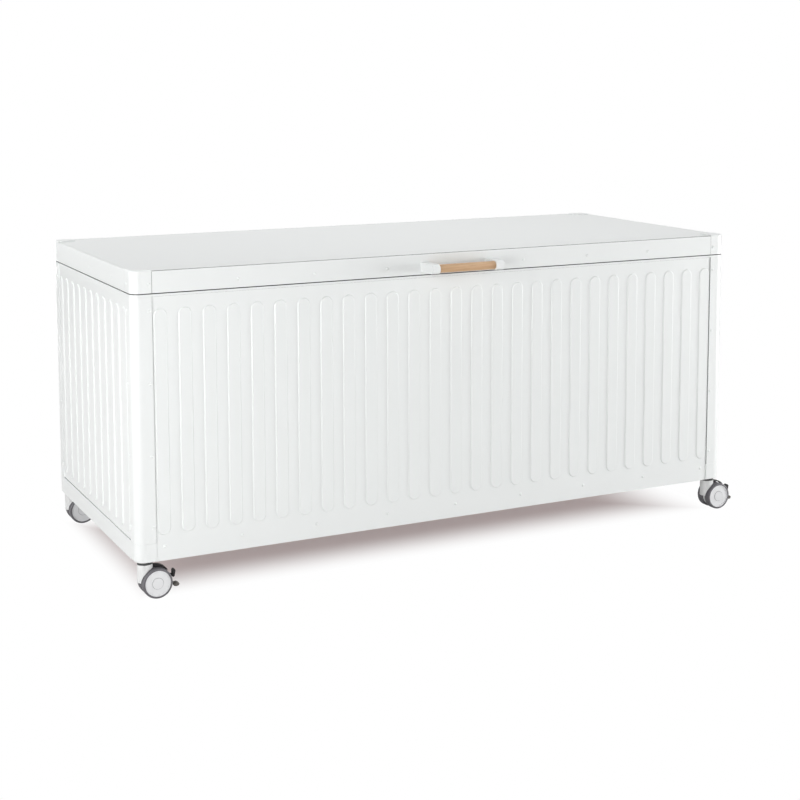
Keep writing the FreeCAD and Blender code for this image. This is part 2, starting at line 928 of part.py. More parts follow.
def lid_rivet_seats():
    """Seats along the lid rails, on the corner caps and on the hinge leaves. None is behind the handle."""
    seats = []
    level = lid_bottom + size("lid_rivet_rise")
    left_out = {"front": (0,), "back": (-3, 0, 3)}
    for face, out_x, out_y, turn in FACES:
        long_face = turn % 180 == 0
        half_width = half_length if long_face else half_depth
        distance = half_depth if long_face else half_length
        reach = 3 if long_face else 1
        for step in range(-reach, reach + 1):
            if step not in left_out.get(face, ()):
                seats.append(rivet_row(face, out_x, out_y, distance, size("lid_rivet_pitch") * step, level))
        for side in (-1, 1):
            across = (half_width - size("cap_rivet_inset")) * side
            seats.append(rivet_row(face, out_x, out_y, distance, across, level))
    return seats + hinge_rivet_seats(lid_leaf_low + size("lid_leaf_height") / 2)


def turned_to(outward):
    """The turn that takes the upright direction to an outward one."""
    return Rotation(Vector(0, 0, 1), outward)


def rivet_shape(grip):
    """A domed head on a shank with a flat tail, head up, its seat at the origin."""
    head_radius = worth(size("rivet_head_radius"))
    head_height = worth(size("rivet_head_height"))
    ball = (head_radius ** 2 + head_height ** 2) / (2 * head_height)
    start = math.degrees(math.asin((ball - head_height) / ball))
    dome = Part.makeSphere(ball, Vector(0, 0, head_height - ball), Vector(0, 0, 1), start, 90, 360)
    down = Vector(0, 0, -1)
    shank = Part.makeCylinder(worth(size("rivet_shank_radius")), grip, Vector(), down)
    tail = Part.makeCylinder(
        worth(size("rivet_tail_radius")), worth(size("rivet_tail")), Vector(0, 0, -grip), down
    )
    return dome.fuse([shank, tail]).removeSplitter()


def rivets(name, seats, grips):
    """A group of alike rivets, one solid to a seat."""
    item = doc.addObject("Part::Feature", name)
    solids = []
    for (spot, outward), grip in zip(seats, grips):
        rivet = rivet_shape(worth(grip))
        rivet.Placement = Placement(spot, turned_to(outward))
        solids.append(rivet)
    item.Shape = Part.Compound(solids)
    return keep(name, item)


def rivet_holes(name, seats, depth):
    """The round holes that the shanks pass through, as cutters that start a little outside."""
    item = doc.addObject("Part::Feature", name)
    radius = worth(size("rivet_shank_radius") + size("rivet_fit"))
    lead = worth(size("rivet_head_height"))
    cutters = [
        Part.makeCylinder(radius, worth(depth) + lead, spot + outward * lead, -outward)
        for spot, outward in seats
    ]
    item.Shape = Part.Compound(cutters)
    return item


def body_grip(spot):
    """The thickness that a body rivet clamps, by its height: panel and rail, post and lips, or leaf and panel."""
    if spot.z < worth(base_top):
        return size("sheet") + size("rail_wall")
    if spot.z > worth(body_leaf_top - size("body_leaf_drop")):
        return size("hinge_leaf") + panel_back
    return panel_back + size("groove_play") + size("lip_wall")


def lid_grip(spot):
    """The thickness that a lid rivet clamps: the wall, with the hinge leaf where the head stands on one."""
    on_leaf = spot.y > worth(half_depth) + 0.1
    return size("lid_wall") + (size("hinge_leaf") if on_leaf else 0)


# Butt hinges


def hinge_knuckles(name, x, parts):
    """Knuckle rolls of one leaf as a list of X ranges, joined to it by short webs."""
    radius = size("knuckle_radius")
    rolls = [rod(name + "_roll", radius, high - low, x + low, hinge_back, hinge_level, Vector(1, 0, 0)) for low, high in parts]
    return rolls


def hinge_bore(name, base, x):
    """The pin's bore through a leaf."""
    half = size("hinge_length") / 2
    radius = size("pin_radius") + size("pin_fit")
    bore = rod(name + "_bore", radius, half * 2, x - half, hinge_back, hinge_level, Vector(1, 0, 0))
    return less(name, base, bore)


def body_hinge_leaf(name, x):
    """The leaf on the body: a plate, a spacer against the panel and the two outer knuckles."""
    half = size("hinge_length") / 2
    third = size("hinge_length") / 6
    near = third + size("knuckle_gap") / 2
    leaf_out = half_depth + size("hinge_leaf")
    plate_top = body_leaf_top
    plate_low = plate_top - size("body_leaf_drop")
    spacer_top = rim_lip_bottom - size("joint_gap")
    ranges = [(-half, -near), (near, half)]
    plate = block(name + "_plate", (x - half, half_depth, plate_low), (x + half, leaf_out, plate_top))
    spacer = block(name + "_spacer", (x - half, half_depth - panel_face, plate_low), (x + half, half_depth, spacer_top))
    webs = [
        block(name + "_web", (x + low, half_depth + size("knuckle_gap"), plate_top), (x + high, leaf_out, hinge_level))
        for low, high in ranges
    ]
    rolls = hinge_knuckles(name, x, ranges)
    whole = hinge_bore(name + "_bored", fused(name + "_solid", [plate, spacer] + webs + rolls), x)
    return less(name, whole, body_rivet_holes)


def lid_hinge_leaf(name, x):
    """The leaf on the lid: a plate and the middle knuckle."""
    half = size("hinge_length") / 2
    near = size("hinge_length") / 6 - size("knuckle_gap") / 2
    leaf_out = half_depth + size("hinge_leaf")
    plate_low = lid_leaf_low
    plate_top = plate_low + size("lid_leaf_height")
    plate = block(name + "_plate", (x - half, half_depth, plate_low), (x + half, leaf_out, plate_top))
    web = block(name + "_web", (x - near, half_depth + size("knuckle_gap"), hinge_level), (x + near, leaf_out, plate_low))
    rolls = hinge_knuckles(name, x, [(-near, near)])
    whole = hinge_bore(name + "_bored", fused(name + "_solid", [plate, web] + rolls), x)
    return less(name, whole, lid_rivet_holes)


def hinge_pin(name, x):
    """A pin with a flat head at each end."""
    half = size("hinge_length") / 2
    head = size("pin_head")
    axis = Vector(1, 0, 0)
    shaft = rod(name + "_shaft", size("pin_radius"), half * 2, x - half, hinge_back, hinge_level, axis)
    left = rod(name + "_left", size("pin_head_radius"), head, x - half - head, hinge_back, hinge_level, axis)
    right = rod(name + "_right", size("pin_head_radius"), head, x + half, hinge_back, hinge_level, axis)
    return fused(name, [shaft, left, right])


def hinges():
    """Three hinges in a row along the back."""
    places = [size("hinge_spacing") * i for i in (-1, 0, 1)]
    group("body_hinge_leaves", [body_hinge_leaf("body_leaf_%d" % i, x) for i, x in enumerate(places, 1)])
    group("lid_hinge_leaves", [lid_hinge_leaf("lid_leaf_%d" % i, x) for i, x in enumerate(places, 1)])
    group("hinge_pins", [hinge_pin("hinge_pin_%d" % i, x) for i, x in enumerate(places, 1)])


# Gas struts, drawn upright from the lower pivot and leaned to the closed lid's pivot

strut_x = half_length - size("strut_inset")
strut_low_y = hinge_back - size("strut_body_forward")
strut_low_z = hinge_level - size("strut_body_drop")
strut_high_y = hinge_back - size("strut_lid_forward")
strut_high_z = hinge_level + size("strut_lid_rise")
strut_length = hypotenuse(strut_high_y - strut_low_y, strut_high_z - strut_low_z)
strut_tube_top = strut_length - size("strut_top_gap")


def strut_lean():
    """The turn about X that leans an upright strut to its closed position."""
    forward = worth(strut_low_y - strut_high_y)
    rise = worth(strut_high_z - strut_low_z)
    return Rotation(Vector(1, 0, 0), math.degrees(math.atan2(forward, rise)))


def strut_piece(name, body, side):
    """Leans a finished strut piece and sets it on its side of the box."""
    place(body, strut_x * side, strut_low_y, strut_low_z, strut_lean())
    return keep(name, body)


def strut_eye(body, level):
    """An eye across the strut with a bore for a stud."""
    pad(
        body,
        circle(drawing(body, "YZ_Plane"), ZERO, level, size("eye_radius")),
        size("eye_width"),
        symmetric=True,
    )


def eye_bore(body, level):
    """The stud's bore through an eye."""
    bore = size("stud_radius") + size("stud_fit")
    pocket(body, circle(drawing(body, "YZ_Plane"), ZERO, level, bore), size("eye_width") * 2, symmetric=True)


def strut_tube(name, side):
    """The pressure tube with its lower eye and its rod guide."""
    body = new_body(name)
    foot = size("strut_foot")
    strut_eye(body, ZERO)
    neck = size("eye_radius") / 2
    pad(body, circle(drawing(body, "XY_Plane", neck), ZERO, ZERO, size("rod_radius")), foot)
    pad(body, circle(drawing(body, "XY_Plane", foot), ZERO, ZERO, size("strut_radius")), strut_tube_top - foot)
    eye_bore(body, ZERO)
    guide_bore = size("rod_radius") + size("rod_fit")
    mouth = drawing(body, "XY_Plane", strut_tube_top)
    pocket(body, circle(mouth, ZERO, ZERO, guide_bore), size("strut_guide") * 2)
    doc.recompute()
    inside = body.newObject("PartDesign::Pocket", name + "_inside")
    inside.Profile = circle(drawing(body, "XY_Plane", foot * 2 - neck), ZERO, ZERO, size("strut_bore"))
    inside.Reversed = True
    put(inside, "Length", strut_tube_top - size("strut_guide") - foot * 2 + neck)
    return strut_piece(name, body, side)


def strut_rod(name, side):
    """The rod with its piston inside the tube and its upper eye."""
    body = new_body(name)
    start = size("piston_start")
    piston_radius = size("strut_bore") - size("rod_fit")
    pad(body, circle(drawing(body, "XY_Plane", start), ZERO, ZERO, piston_radius), size("piston_length"))
    pad(body, circle(drawing(body, "XY_Plane", start), ZERO, ZERO, size("rod_radius")), strut_length - start)
    strut_eye(body, strut_length)
    eye_bore(body, strut_length)
    return strut_piece(name, body, side)


def sided(side, near, far):
    """Two distances from the middle plane as a rising pair of X values on one side."""
    return (near, far) if side > 0 else (-far, -near)


def strut_body_bracket(name, side):
    """A plate on the side panel with a shouldered stud and its clip."""
    half_eye = size("eye_width") / 2
    gap = size("stud_side_gap")
    plate_far = half_length - panel_back
    plate_near = plate_far - size("bracket_plate")
    x_low, x_high = sided(side, plate_near, plate_far)
    half_y = size("body_plate_width") / 2
    half_z = size("body_plate_height") / 2
    plate = block(
        name + "_plate",
        (x_low, strut_low_y - half_y, strut_low_z - half_z),
        (x_high, strut_low_y + half_y, strut_low_z + half_z),
    )
    axis = Vector(1, 0, 0)
    shoulder_near = strut_x + half_eye + gap
    clip_far = strut_x - half_eye - gap
    clip_near = clip_far - size("clip_thickness")
    spans = (
        ("_shoulder", size("stud_shoulder_radius"), shoulder_near, plate_far - size("bracket_plate") / 2),
        ("_stud", size("stud_radius"), clip_near, plate_near),
        ("_clip", size("stud_shoulder_radius"), clip_near, clip_far),
    )
    rods = []
    for ending, radius, near, far in spans:
        low, high = sided(side, near, far)
        rods.append(rod(name + ending, radius, high - low, low, strut_low_y, strut_low_z, axis))
    return fused(name, [plate] + rods)


def strut_lid_bracket(name, side):
    """An angle under the lid's side rail with a short stud that stops beside the rod's eye."""
    plate_near = half_length - size("lid_ledge_width") + size("lid_plate_setback")
    plate_far = plate_near + size("bracket_plate")
    half_y = size("lid_plate_width") / 2
    low_y = strut_high_y - half_y
    high_y = strut_high_y + half_y
    x_low, x_high = sided(side, plate_near, plate_far)
    flange_low, flange_high = sided(side, plate_near, plate_far + size("lid_flange"))
    plate = block(
        name + "_plate",
        (x_low, low_y, strut_high_z - size("lid_plate_drop")),
        (x_high, high_y, ledge_under),
    )
    flange = block(
        name + "_flange",
        (flange_low, low_y, ledge_under - size("bracket_plate")),
        (flange_high, high_y, ledge_under),
    )
    stud_low, stud_high = sided(side, strut_x + size("eye_width") / 2 + size("stud_side_gap"), plate_far)
    stud = rod(name + "_stud", size("stud_radius"), stud_high - stud_low, stud_low, strut_high_y, strut_high_z, Vector(1, 0, 0))
    return fused(name, [plate, flange, stud])


def gas_struts():
    """A strut and its brackets on each side."""
    sides = (("left", -1), ("right", 1))
    for side_name, side in sides:
        strut_tube("strut_tube_" + side_name, side)
        strut_rod("strut_rod_" + side_name, side)
    group("strut_body_brackets", [strut_body_bracket("strut_body_bracket_" + n, s) for n, s in sides])
    group("strut_lid_brackets", [strut_lid_bracket("strut_lid_bracket_" + n, s) for n, s in sides])


# Castors, drawn about the kingpin with the wheels trailing along X


def castor_spot(side_x, side_y):
    """Where a castor's kingpin stands."""
    return (half_length - size("castor_inset")) * side_x, (half_depth - size("castor_inset")) * side_y


housing_top = body_bottom - size("collar_height") - size("collar_gap")


def castor_stem(corner, side_x, side_y):
    """The dark collar under a base corner with the kingpin through it."""
    name = "castor_stem_" + corner
    x, y = castor_spot(side_x, side_y)
    up = Vector(0, 0, 1)
    collar_low = body_bottom - size("collar_height")
    pin_low = housing_top - size("kingpin_down")
    collar = rod(name + "_collar", size("collar_radius"), size("collar_height"), x, y, collar_low, up)
    kingpin = rod(
        name + "_pin", size("kingpin_radius"), body_bottom + size("kingpin_up") - pin_low, x, y, pin_low, up
    )
    return fused(name, [collar, kingpin])


def castor_housing(corner, side_x, side_y, braked):
    """The column, web and axle that carry the two wheels."""
    name = "castor_housing_" + corner
    body = new_body(name)
    out = size("castor_trail")
    low = size("column_low")
    pad(body, circle(drawing(body, "XY_Plane", low), ZERO, ZERO, size("column_radius")), housing_top - low)
    well = size("wheel_radius") + size("well_gap")
    for side in (-1, 1):
        cut = circle(drawing(body, "XZ_Plane", size("web_half") * side), out, axle_level, well)
        pocket(body, cut, size("column_radius"), forward=side > 0)
    pad(
        body,
        circle(drawing(body, "XZ_Plane"), out, axle_level, size("web_radius")),
        size("web_half") * 2,
        symmetric=True,
    )
    pad(
        body,
        circle(drawing(body, "XZ_Plane"), out, axle_level, size("axle_radius")),
        size("axle_half") * 2,
        symmetric=True,
    )
    socket = size("kingpin_radius") + size("kingpin_fit")
    pocket(
        body,
        circle(drawing(body, "XY_Plane", housing_top), ZERO, ZERO, socket),
        size("kingpin_down") + size("socket_room"),
    )
    if braked:
        start = out + size("pedal_slot_start")
        fork = rectangle(drawing(body, "XZ_Plane"), (start, ZERO), (out + well, axle_level * 2))
        pocket(body, fork, size("pedal_slot"), symmetric=True)
        pivot = circle(
            drawing(body, "XZ_Plane"),
            out + size("pedal_pivot_out"),
            axle_level + size("pedal_pivot_up"),
            size("pedal_pin_radius"),
        )
        pad(body, pivot, size("web_half") * 2, symmetric=True)
    x, y = castor_spot(side_x, side_y)
    place(body, x, y, 0)
    return keep(name, body)


def wheel(corner, side_x, side_y, place_name, outward):
    """A tyre and its hub on one end of the axle, drawn flat from the castor's middle outwards."""
    x, y = castor_spot(side_x, side_y)
    stand = Rotation(Vector(1, 0, 0), 90 if outward < 0 else -90)
    start = size("wheel_start")
    end = start + size("wheel_width")
    inner_radius = size("wheel_radius") - size("tyre_thickness")
    tyre = new_body("tyre_" + corner + place_name)
    ring = drawing(tyre, "XY_Plane", start)
    circle(ring, ZERO, ZERO, size("wheel_radius"))
    circle(ring, ZERO, ZERO, inner_radius)
    blank = pad(tyre, ring, size("wheel_width"))

    def tread_edge(edge):
        return edge.BoundBox.ZLength < 0.01 and edge.BoundBox.XMax > inner_radius.value + 1.0

    round_edges(tyre, blank, size("tyre_edge_radius"), tread_edge)
    hub = new_body("hub_" + corner + place_name)
    face = end - size("hub_recess")
    disc = inner_radius - size("tyre_fit")
    pad(hub, circle(drawing(hub, "XY_Plane", start), ZERO, ZERO, disc), face - start)
    dish = drawing(hub, "XY_Plane", face)
    circle(dish, ZERO, ZERO, size("hub_dish_radius"))
    circle(dish, ZERO, ZERO, size("hub_cap_radius"))
    pocket(hub, dish, size("hub_dish_depth"))
    boss = drawing(hub, "XY_Plane", start - size("hub_boss"))
    pad(hub, circle(boss, ZERO, ZERO, size("hub_boss_radius")), size("hub_boss") * 2)
    bore = drawing(hub, "XY_Plane", start - size("hub_boss"))
    depth = size("axle_half") + size("axle_end_room") - start + size("hub_boss")
    pocket(hub, circle(bore, ZERO, ZERO, size("axle_radius") + size("axle_fit")), depth, forward=True)
    for kind, body in (("tyre_", tyre), ("hub_", hub)):
        place(body, x + size("castor_trail"), y, axle_level, stand)
        keep(kind + corner + "_" + place_name, body)


# Outlines of the pedal seen from the side, along and above the axle

PEDAL_LEVER = (
    (15.0, 9.0),
    (22.6, 32.6),
    (29.4, 26.0),
    (31.0, 19.5),
    (37.0, 13.5),
    (45.0, 13.0),
    (45.4, 6.0),
    (33.0, 3.4),
    (50.0, -12.0),
    (50.0, -17.0),
    (21.0, 1.0),
)
PEDAL_STRAP = (
    (-4.5, 43.0),
    (3.0, 43.2),
    (10.0, 41.6),
    (16.0, 39.3),
    (22.0, 35.7),
    (27.5, 30.5),
    (31.5, 25.3),
    (29.6, 25.3),
    (26.2, 28.9),
    (20.8, 33.2),
    (14.6, 36.6),
    (8.5, 38.7),
    (3.0, 39.4),
    (-4.5, 39.4),
)
PEDAL_UPPER_LOBE = (
    (43.6, 5.0),
    (46.2, 4.4),
    (48.4, 7.0),
    (51.0, 20.6),
    (48.8, 24.0),
    (45.2, 24.0),
    (43.2, 20.0),
)
PEDAL_LOWER_LOBE = (
    (47.0, -10.4),
    (54.6, -9.8),
    (59.0, -12.0),
    (60.2, -15.2),
    (58.4, -18.8),
    (53.4, -20.2),
    (47.0, -18.8),
)


def brake_pedal(corner, side_x, side_y):
    """A rocking pedal on a pin in the forked web: a lever, a strap over the wheels and two lobes."""
    name = "brake_pedal_" + corner
    body = new_body(name)
    out = size("castor_trail")

    def at_axle(points):
        return [(out + x, axle_level + z) for x, z in points]

    pivot_x = out + size("pedal_pivot_out")
    pivot_z = axle_level + size("pedal_pivot_up")
    plate = size("pedal_plate")
    wide = size("pedal_width")
    pad(body, polygon(drawing(body, "XZ_Plane"), at_axle(PEDAL_LEVER)), plate, symmetric=True)
    pad(body, circle(drawing(body, "XZ_Plane"), pivot_x, pivot_z, size("pedal_hub_radius")), plate, symmetric=True)
    for outline in (PEDAL_STRAP, PEDAL_UPPER_LOBE, PEDAL_LOWER_LOBE):
        last = pad(body, polygon(drawing(body, "XZ_Plane"), at_axle(outline)), wide, symmetric=True)
    lobe_tip = max(x for x, z in PEDAL_LOWER_LOBE)

    def lobe_corner(edge):
        box = edge.BoundBox
        across = box.YLength > wide.value - 0.01 and box.XLength < 0.01 and box.ZLength < 0.01
        return across and box.XMin > out.value + lobe_tip - 6.0 and box.ZMax < axle_level.value

    round_edges(body, last, size("pedal_edge_radius"), lobe_corner)
    bore = circle(drawing(body, "XZ_Plane"), pivot_x, pivot_z, size("pedal_pin_radius") + size("pedal_pin_fit"))
    pocket(body, bore, plate * 2, symmetric=True)
    x, y = castor_spot(side_x, side_y)
    place(body, x, y, 0)
    return keep(name, body)


def castors():
    """Four castors, the two at the front with brakes."""
    stems = [castor_stem(corner, side_x, side_y) for corner, side_x, side_y, turn in CORNERS]
    group("castor_stems", stems)
    for corner, side_x, side_y, turn in CORNERS:
        braked = side_y < 0
        castor_housing(corner, side_x, side_y, braked)
        for place_name, outward in (("near", -1), ("far", 1)):
            wheel(corner, side_x, side_y, place_name, outward)
        if braked:
            brake_pedal(corner, side_x, side_y)


# Build every piece

body_seats = body_rivet_seats()
lid_seats = lid_rivet_seats()
hole_depth = size("hinge_leaf") + panel_back + size("groove_play") + size("lip_wall")
body_rivet_holes = rivet_holes("body_rivet_holes", body_seats, hole_depth)
lid_rivet_holes = rivet_holes("lid_rivet_holes", lid_seats, size("lid_wall") + size("hinge_leaf"))

for corner, side_x, side_y, turn in CORNERS:
    corner_post(corner, side_x, side_y, turn)
group("base_corners", [base_corner(*corner) for corner in CORNERS])
for face, out_x, out_y, turn in FACES:
    along = half_length if turn % 180 == 0 else half_depth
    base_rail(face, along, turn)
    lid_rail(face, along, turn)
    panel(face, out_x, out_y, turn)
floor_panel()
member_reach = half_depth - panel_back - size("rail_depth")
cross_members("floor_members", base_top, size("member_height"), member_reach)
rim_frame()
rim_seal()
rivets("body_rivets", body_seats, [body_grip(spot) for spot, outward in body_seats])
rivets("lid_rivets", lid_seats, [lid_grip(spot) for spot, outward in lid_seats])
group("lid_corners", [lid_corner(*corner) for corner in CORNERS])
lid_top_sheet()
bar_reach = half_depth - size("lid_ledge_width")
cross_members("lid_bars", top_sheet_under, size("bar_height"), bar_reach)
handle()
hinges()
gas_struts()
castors()
doc.recompute()

# Nothing is written unless every object and every piece is sound
failed = [item.Label for item in doc.Objects if "Invalid" in item.State or "Error" in item.State]
if failed:
    raise RuntimeError("These objects failed: " + ", ".join(failed))
for name, item in pieces.items():
    if item.Shape.isNull() or not item.Shape.isValid() or not item.Shape.Solids:
        raise RuntimeError(name + " has no sound solid")

os.makedirs("parts", exist_ok=True)
for name, item in pieces.items():
    item.Shape.exportStep("parts/" + name + ".step")
print(len(pieces), "pieces written")
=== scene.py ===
"""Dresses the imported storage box: pressed panels, powder coat, wooden grip, castors and the studio."""

import bmesh
import bpy
import json
import math
from mathutils import Matrix, Vector


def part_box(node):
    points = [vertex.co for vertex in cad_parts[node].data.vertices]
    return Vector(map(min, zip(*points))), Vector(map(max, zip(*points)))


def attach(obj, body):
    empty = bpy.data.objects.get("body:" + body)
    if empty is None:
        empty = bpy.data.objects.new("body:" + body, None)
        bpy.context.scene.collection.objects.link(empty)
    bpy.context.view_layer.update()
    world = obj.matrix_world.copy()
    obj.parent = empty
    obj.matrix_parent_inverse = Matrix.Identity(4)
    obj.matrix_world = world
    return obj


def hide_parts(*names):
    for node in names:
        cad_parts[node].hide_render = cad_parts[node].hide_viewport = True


bl_info = {
    "name": "Storage Box Looks",
    "version": (1, 0, 0),
    "blender": (4, 5, 0),
    "location": "3D View > Sidebar > Storage Box",
    "description": "Builds the looks of a white storage box on castors around its packed frame",
    "category": "Object",
}

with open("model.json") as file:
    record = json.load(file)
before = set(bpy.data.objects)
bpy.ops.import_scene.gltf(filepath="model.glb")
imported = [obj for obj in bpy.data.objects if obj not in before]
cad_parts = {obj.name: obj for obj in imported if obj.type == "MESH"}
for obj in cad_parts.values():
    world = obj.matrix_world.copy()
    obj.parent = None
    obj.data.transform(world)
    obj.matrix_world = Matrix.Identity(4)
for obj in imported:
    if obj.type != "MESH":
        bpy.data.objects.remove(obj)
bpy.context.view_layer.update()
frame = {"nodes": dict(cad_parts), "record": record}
MM = 0.001
CASTOR_CORNERS = ("front_left", "front_right", "back_right", "back_left")
# Each face of the box and how far it is turned from the front, in degrees
FACE_TURNS = (("front", 0), ("right", 90), ("back", 180), ("left", 270))
LONG_FACE_TURNS = (0, 180)


# Properties a user would change


def colour_setting(label, about, value):
    """A colour that a user can change."""
    return bpy.props.FloatVectorProperty(
        name=label, description=about, subtype="COLOR", size=3, min=0.0, max=1.0, default=value
    )


def length_setting(label, about, millimetres):
    """A length that a user can change."""
    return bpy.props.FloatProperty(
        name=label, description=about, unit="LENGTH", default=millimetres * MM
    )


def angle_setting(label, about, degrees):
    """An angle that a user can change."""
    return bpy.props.FloatProperty(
        name=label, description=about, subtype="ANGLE", default=math.radians(degrees)
    )


def count_setting(label, about, value):
    """A number of slots in a row, which has at least one at each end."""
    return bpy.props.IntProperty(name=label, description=about, default=value, min=2)


class BoxColours(bpy.types.PropertyGroup):
    """Colours of the box and its fittings."""

    coat: colour_setting("Powder coat", "White powder coat of the sheet metal", (0.83, 0.85, 0.845))
    inside: colour_setting("Floor coat", "Coat of the floor and cross members", (0.78, 0.80, 0.80))
    # Also the colour of the dark beads of painted shade in the body's seams
    seal: colour_setting("Seal", "Rubber of the seal on the rim", (0.03, 0.03, 0.032))
    # Colour of the dark strips of painted shade in the lid's seams
    seam_shade: colour_setting("Sealant", "Beads in the seams of the lid", (0.10, 0.10, 0.10))
    wood_light: colour_setting("Light wood", "Pale grain of the grip", (0.64, 0.43, 0.26))
    wood_dark: colour_setting("Dark wood", "Darker streaks of the grip", (0.45, 0.26, 0.13))
    shell: colour_setting("Castor shell", "Pale plastic of the castor housings", (0.74, 0.75, 0.75))
    hub: colour_setting("Hub", "Grey plastic of the hubs", (0.77, 0.775, 0.785))
    hub_line: colour_setting("Hub line", "Joint round the cap of a hub", (0.30, 0.30, 0.31))
    tyre: colour_setting("Tyre", "Grey rubber of the tyres", (0.10, 0.098, 0.114))
    pedal: colour_setting("Pedal", "Dark plastic of the brake pedals", (0.016, 0.014, 0.015))
    stem: colour_setting("Stem", "Dark collar under each base corner", (0.05, 0.052, 0.052))
    steel: colour_setting("Steel", "Hinge pins and strut brackets", (0.55, 0.55, 0.55))
    tube: colour_setting("Strut tube", "Black lacquer of the gas struts", (0.012, 0.012, 0.012))
    chrome: colour_setting("Strut rod", "Chrome of the struts' rods", (0.8, 0.8, 0.82))


class PanelSizes(bpy.types.PropertyGroup):
    """Sizes of the raised slots."""

    slot_width: length_setting("Slot width", "Width of a raised slot at its foot", 34)
    side_margin: length_setting("Side margin", "From a post to the first slot", 3.5)
    slot_low: length_setting("Slot bottom", "Height of a slot's lower end", 157)
    slot_high: length_setting("Slot top", "Height of a slot's upper end", 713)
    rise: length_setting("Rise", "How far a slot stands out", 2.5)
    sheet: length_setting("Sheet", "Thickness of the sheet", 1.5)
    front_count: count_setting("Front slots", "Slots across the front and the back", 27)
    side_count: count_setting("Side slots", "Slots across each side", 11)


class StudioSizes(bpy.types.PropertyGroup):
    """The camera and the light."""

    focal: bpy.props.FloatProperty(
        name="Focal length", description="Lens of the camera", unit="CAMERA", default=68.868
    )
    shift: bpy.props.FloatProperty(
        name="Shift", description="Vertical shift of the lens", default=-0.2
    )
    pitch: angle_setting("Pitch", "How far the camera looks down", 6.442)
    yaw: angle_setting("Yaw", "How far the camera is turned", -26.452)
    roll: angle_setting("Roll", "How far the camera leans", -0.104)
    place: bpy.props.FloatVectorProperty(
        name="Place", description="Where the camera stands", subtype="XYZ", unit="LENGTH",
        default=(-1.900, -3.861, 1.284),
    )
    ambient: bpy.props.FloatProperty(
        name="Ambient", description="Strength of the light all round", default=0.12
    )


# Node helpers

FLOAT = "NodeSocketFloat"
COLOUR = "NodeSocketColor"


def solid(colour):
    """A colour with its alpha."""
    return (*colour, 1.0)


def add_node(tree, kind, **values):
    """A node with its properties set, and its inputs: in_Scale is the input Scale, in_1 number 1."""
    node = tree.nodes.new(kind)
    for name, value in values.items():
        if name.startswith("in_"):
            key = name[3:].replace("_", " ")
            node.inputs[int(key) if key.isdigit() else key].default_value = value
        else:
            setattr(node, name, value)
    return node


def link(tree, source, target):
    """Joins an output to an input."""
    tree.links.new(source, target)


def calculate(tree, operation, *terms):
    """One step of arithmetic, in which each term is a number or another node's output."""
    node = add_node(tree, "ShaderNodeMath", operation=operation)
    for i, term in enumerate(terms):
        if isinstance(term, bpy.types.NodeSocket):
            link(tree, term, node.inputs[i])
        else:
            node.inputs[i].default_value = term
    return node.outputs[0]


def scaled_colour(tree, colour, factor):
    """A colour made lighter or darker by a factor."""
    node = add_node(tree, "ShaderNodeVectorMath", operation="SCALE")
    link(tree, colour, node.inputs[0])
    link(tree, factor, node.inputs["Scale"])
    return node.outputs[0]


def stretched_noise(tree, coords, stretch, **values):
    """Noise on the object's own coordinates, drawn out along X."""
    mapping = add_node(tree, "ShaderNodeMapping", in_Scale=stretch)
    link(tree, coords.outputs["Object"], mapping.inputs["Vector"])
    noise = add_node(tree, "ShaderNodeTexNoise", in_Scale=1.0, **values)
    link(tree, mapping.outputs[0], noise.inputs["Vector"])
    return noise.outputs["Fac"]


def new_group(name, inputs):
    """An empty shader group that puts out a colour, a roughness and a height."""
    group = bpy.data.node_groups.new(name, "ShaderNodeTree")
    for label, kind, value in inputs:
        socket = group.interface.new_socket(name=label, in_out="INPUT", socket_type=kind)
        socket.default_value = value
    for label, kind in (("Colour", COLOUR), ("Roughness", FLOAT), ("Height", FLOAT)):
        group.interface.new_socket(name=label, in_out="OUTPUT", socket_type=kind)
    start = group.nodes.new("NodeGroupInput")
    return group, start


def close_group(group, colour, roughness, height):
    """Sends the three results out of a group."""
    end = group.nodes.new("NodeGroupOutput")
    link(group, colour, end.inputs["Colour"])
    link(group, roughness, end.inputs["Roughness"])
    link(group, height, end.inputs["Height"])
    return group


# Shared surface effects

# Dust is thickest from this height down, and has this colour
DUSTIEST_HEIGHT = 0.03
DUST_COLOUR = (0.60, 0.56, 0.50)
# How much the fine lines of brushed metal change its colour and its roughness
BRUSHED_CHANGE = 0.2
# How fine the patterns are along and across, in waves a metre
WOOD_STREAKS = (7.0, 150.0, 150.0)
WOOD_PORES = (60.0, 1500.0, 1500.0)
BRUSHED_LINES = (40.0, 2500.0, 2500.0)
# The middle of a noise, which runs from 0 to 1
NOISE_MIDDLE = 0.5


def dust_amount(group, start, coords, patches):
    """How much dust lies on a point: more towards the floor, and in patches."""
    place = add_node(group, "ShaderNodeSeparateXYZ")
    link(group, coords.outputs["Object"], place.inputs[0])
    settled = add_node(group, "ShaderNodeMapRange", in_From_Max=DUSTIEST_HEIGHT)
    link(group, start.outputs["Dust Height"], settled.inputs["From Min"])
    link(group, place.outputs["Z"], settled.inputs["Value"])
    patchy = calculate(group, "MULTIPLY", settled.outputs["Result"], patches)
    return calculate(group, "MULTIPLY", patchy, start.outputs["Dust"])


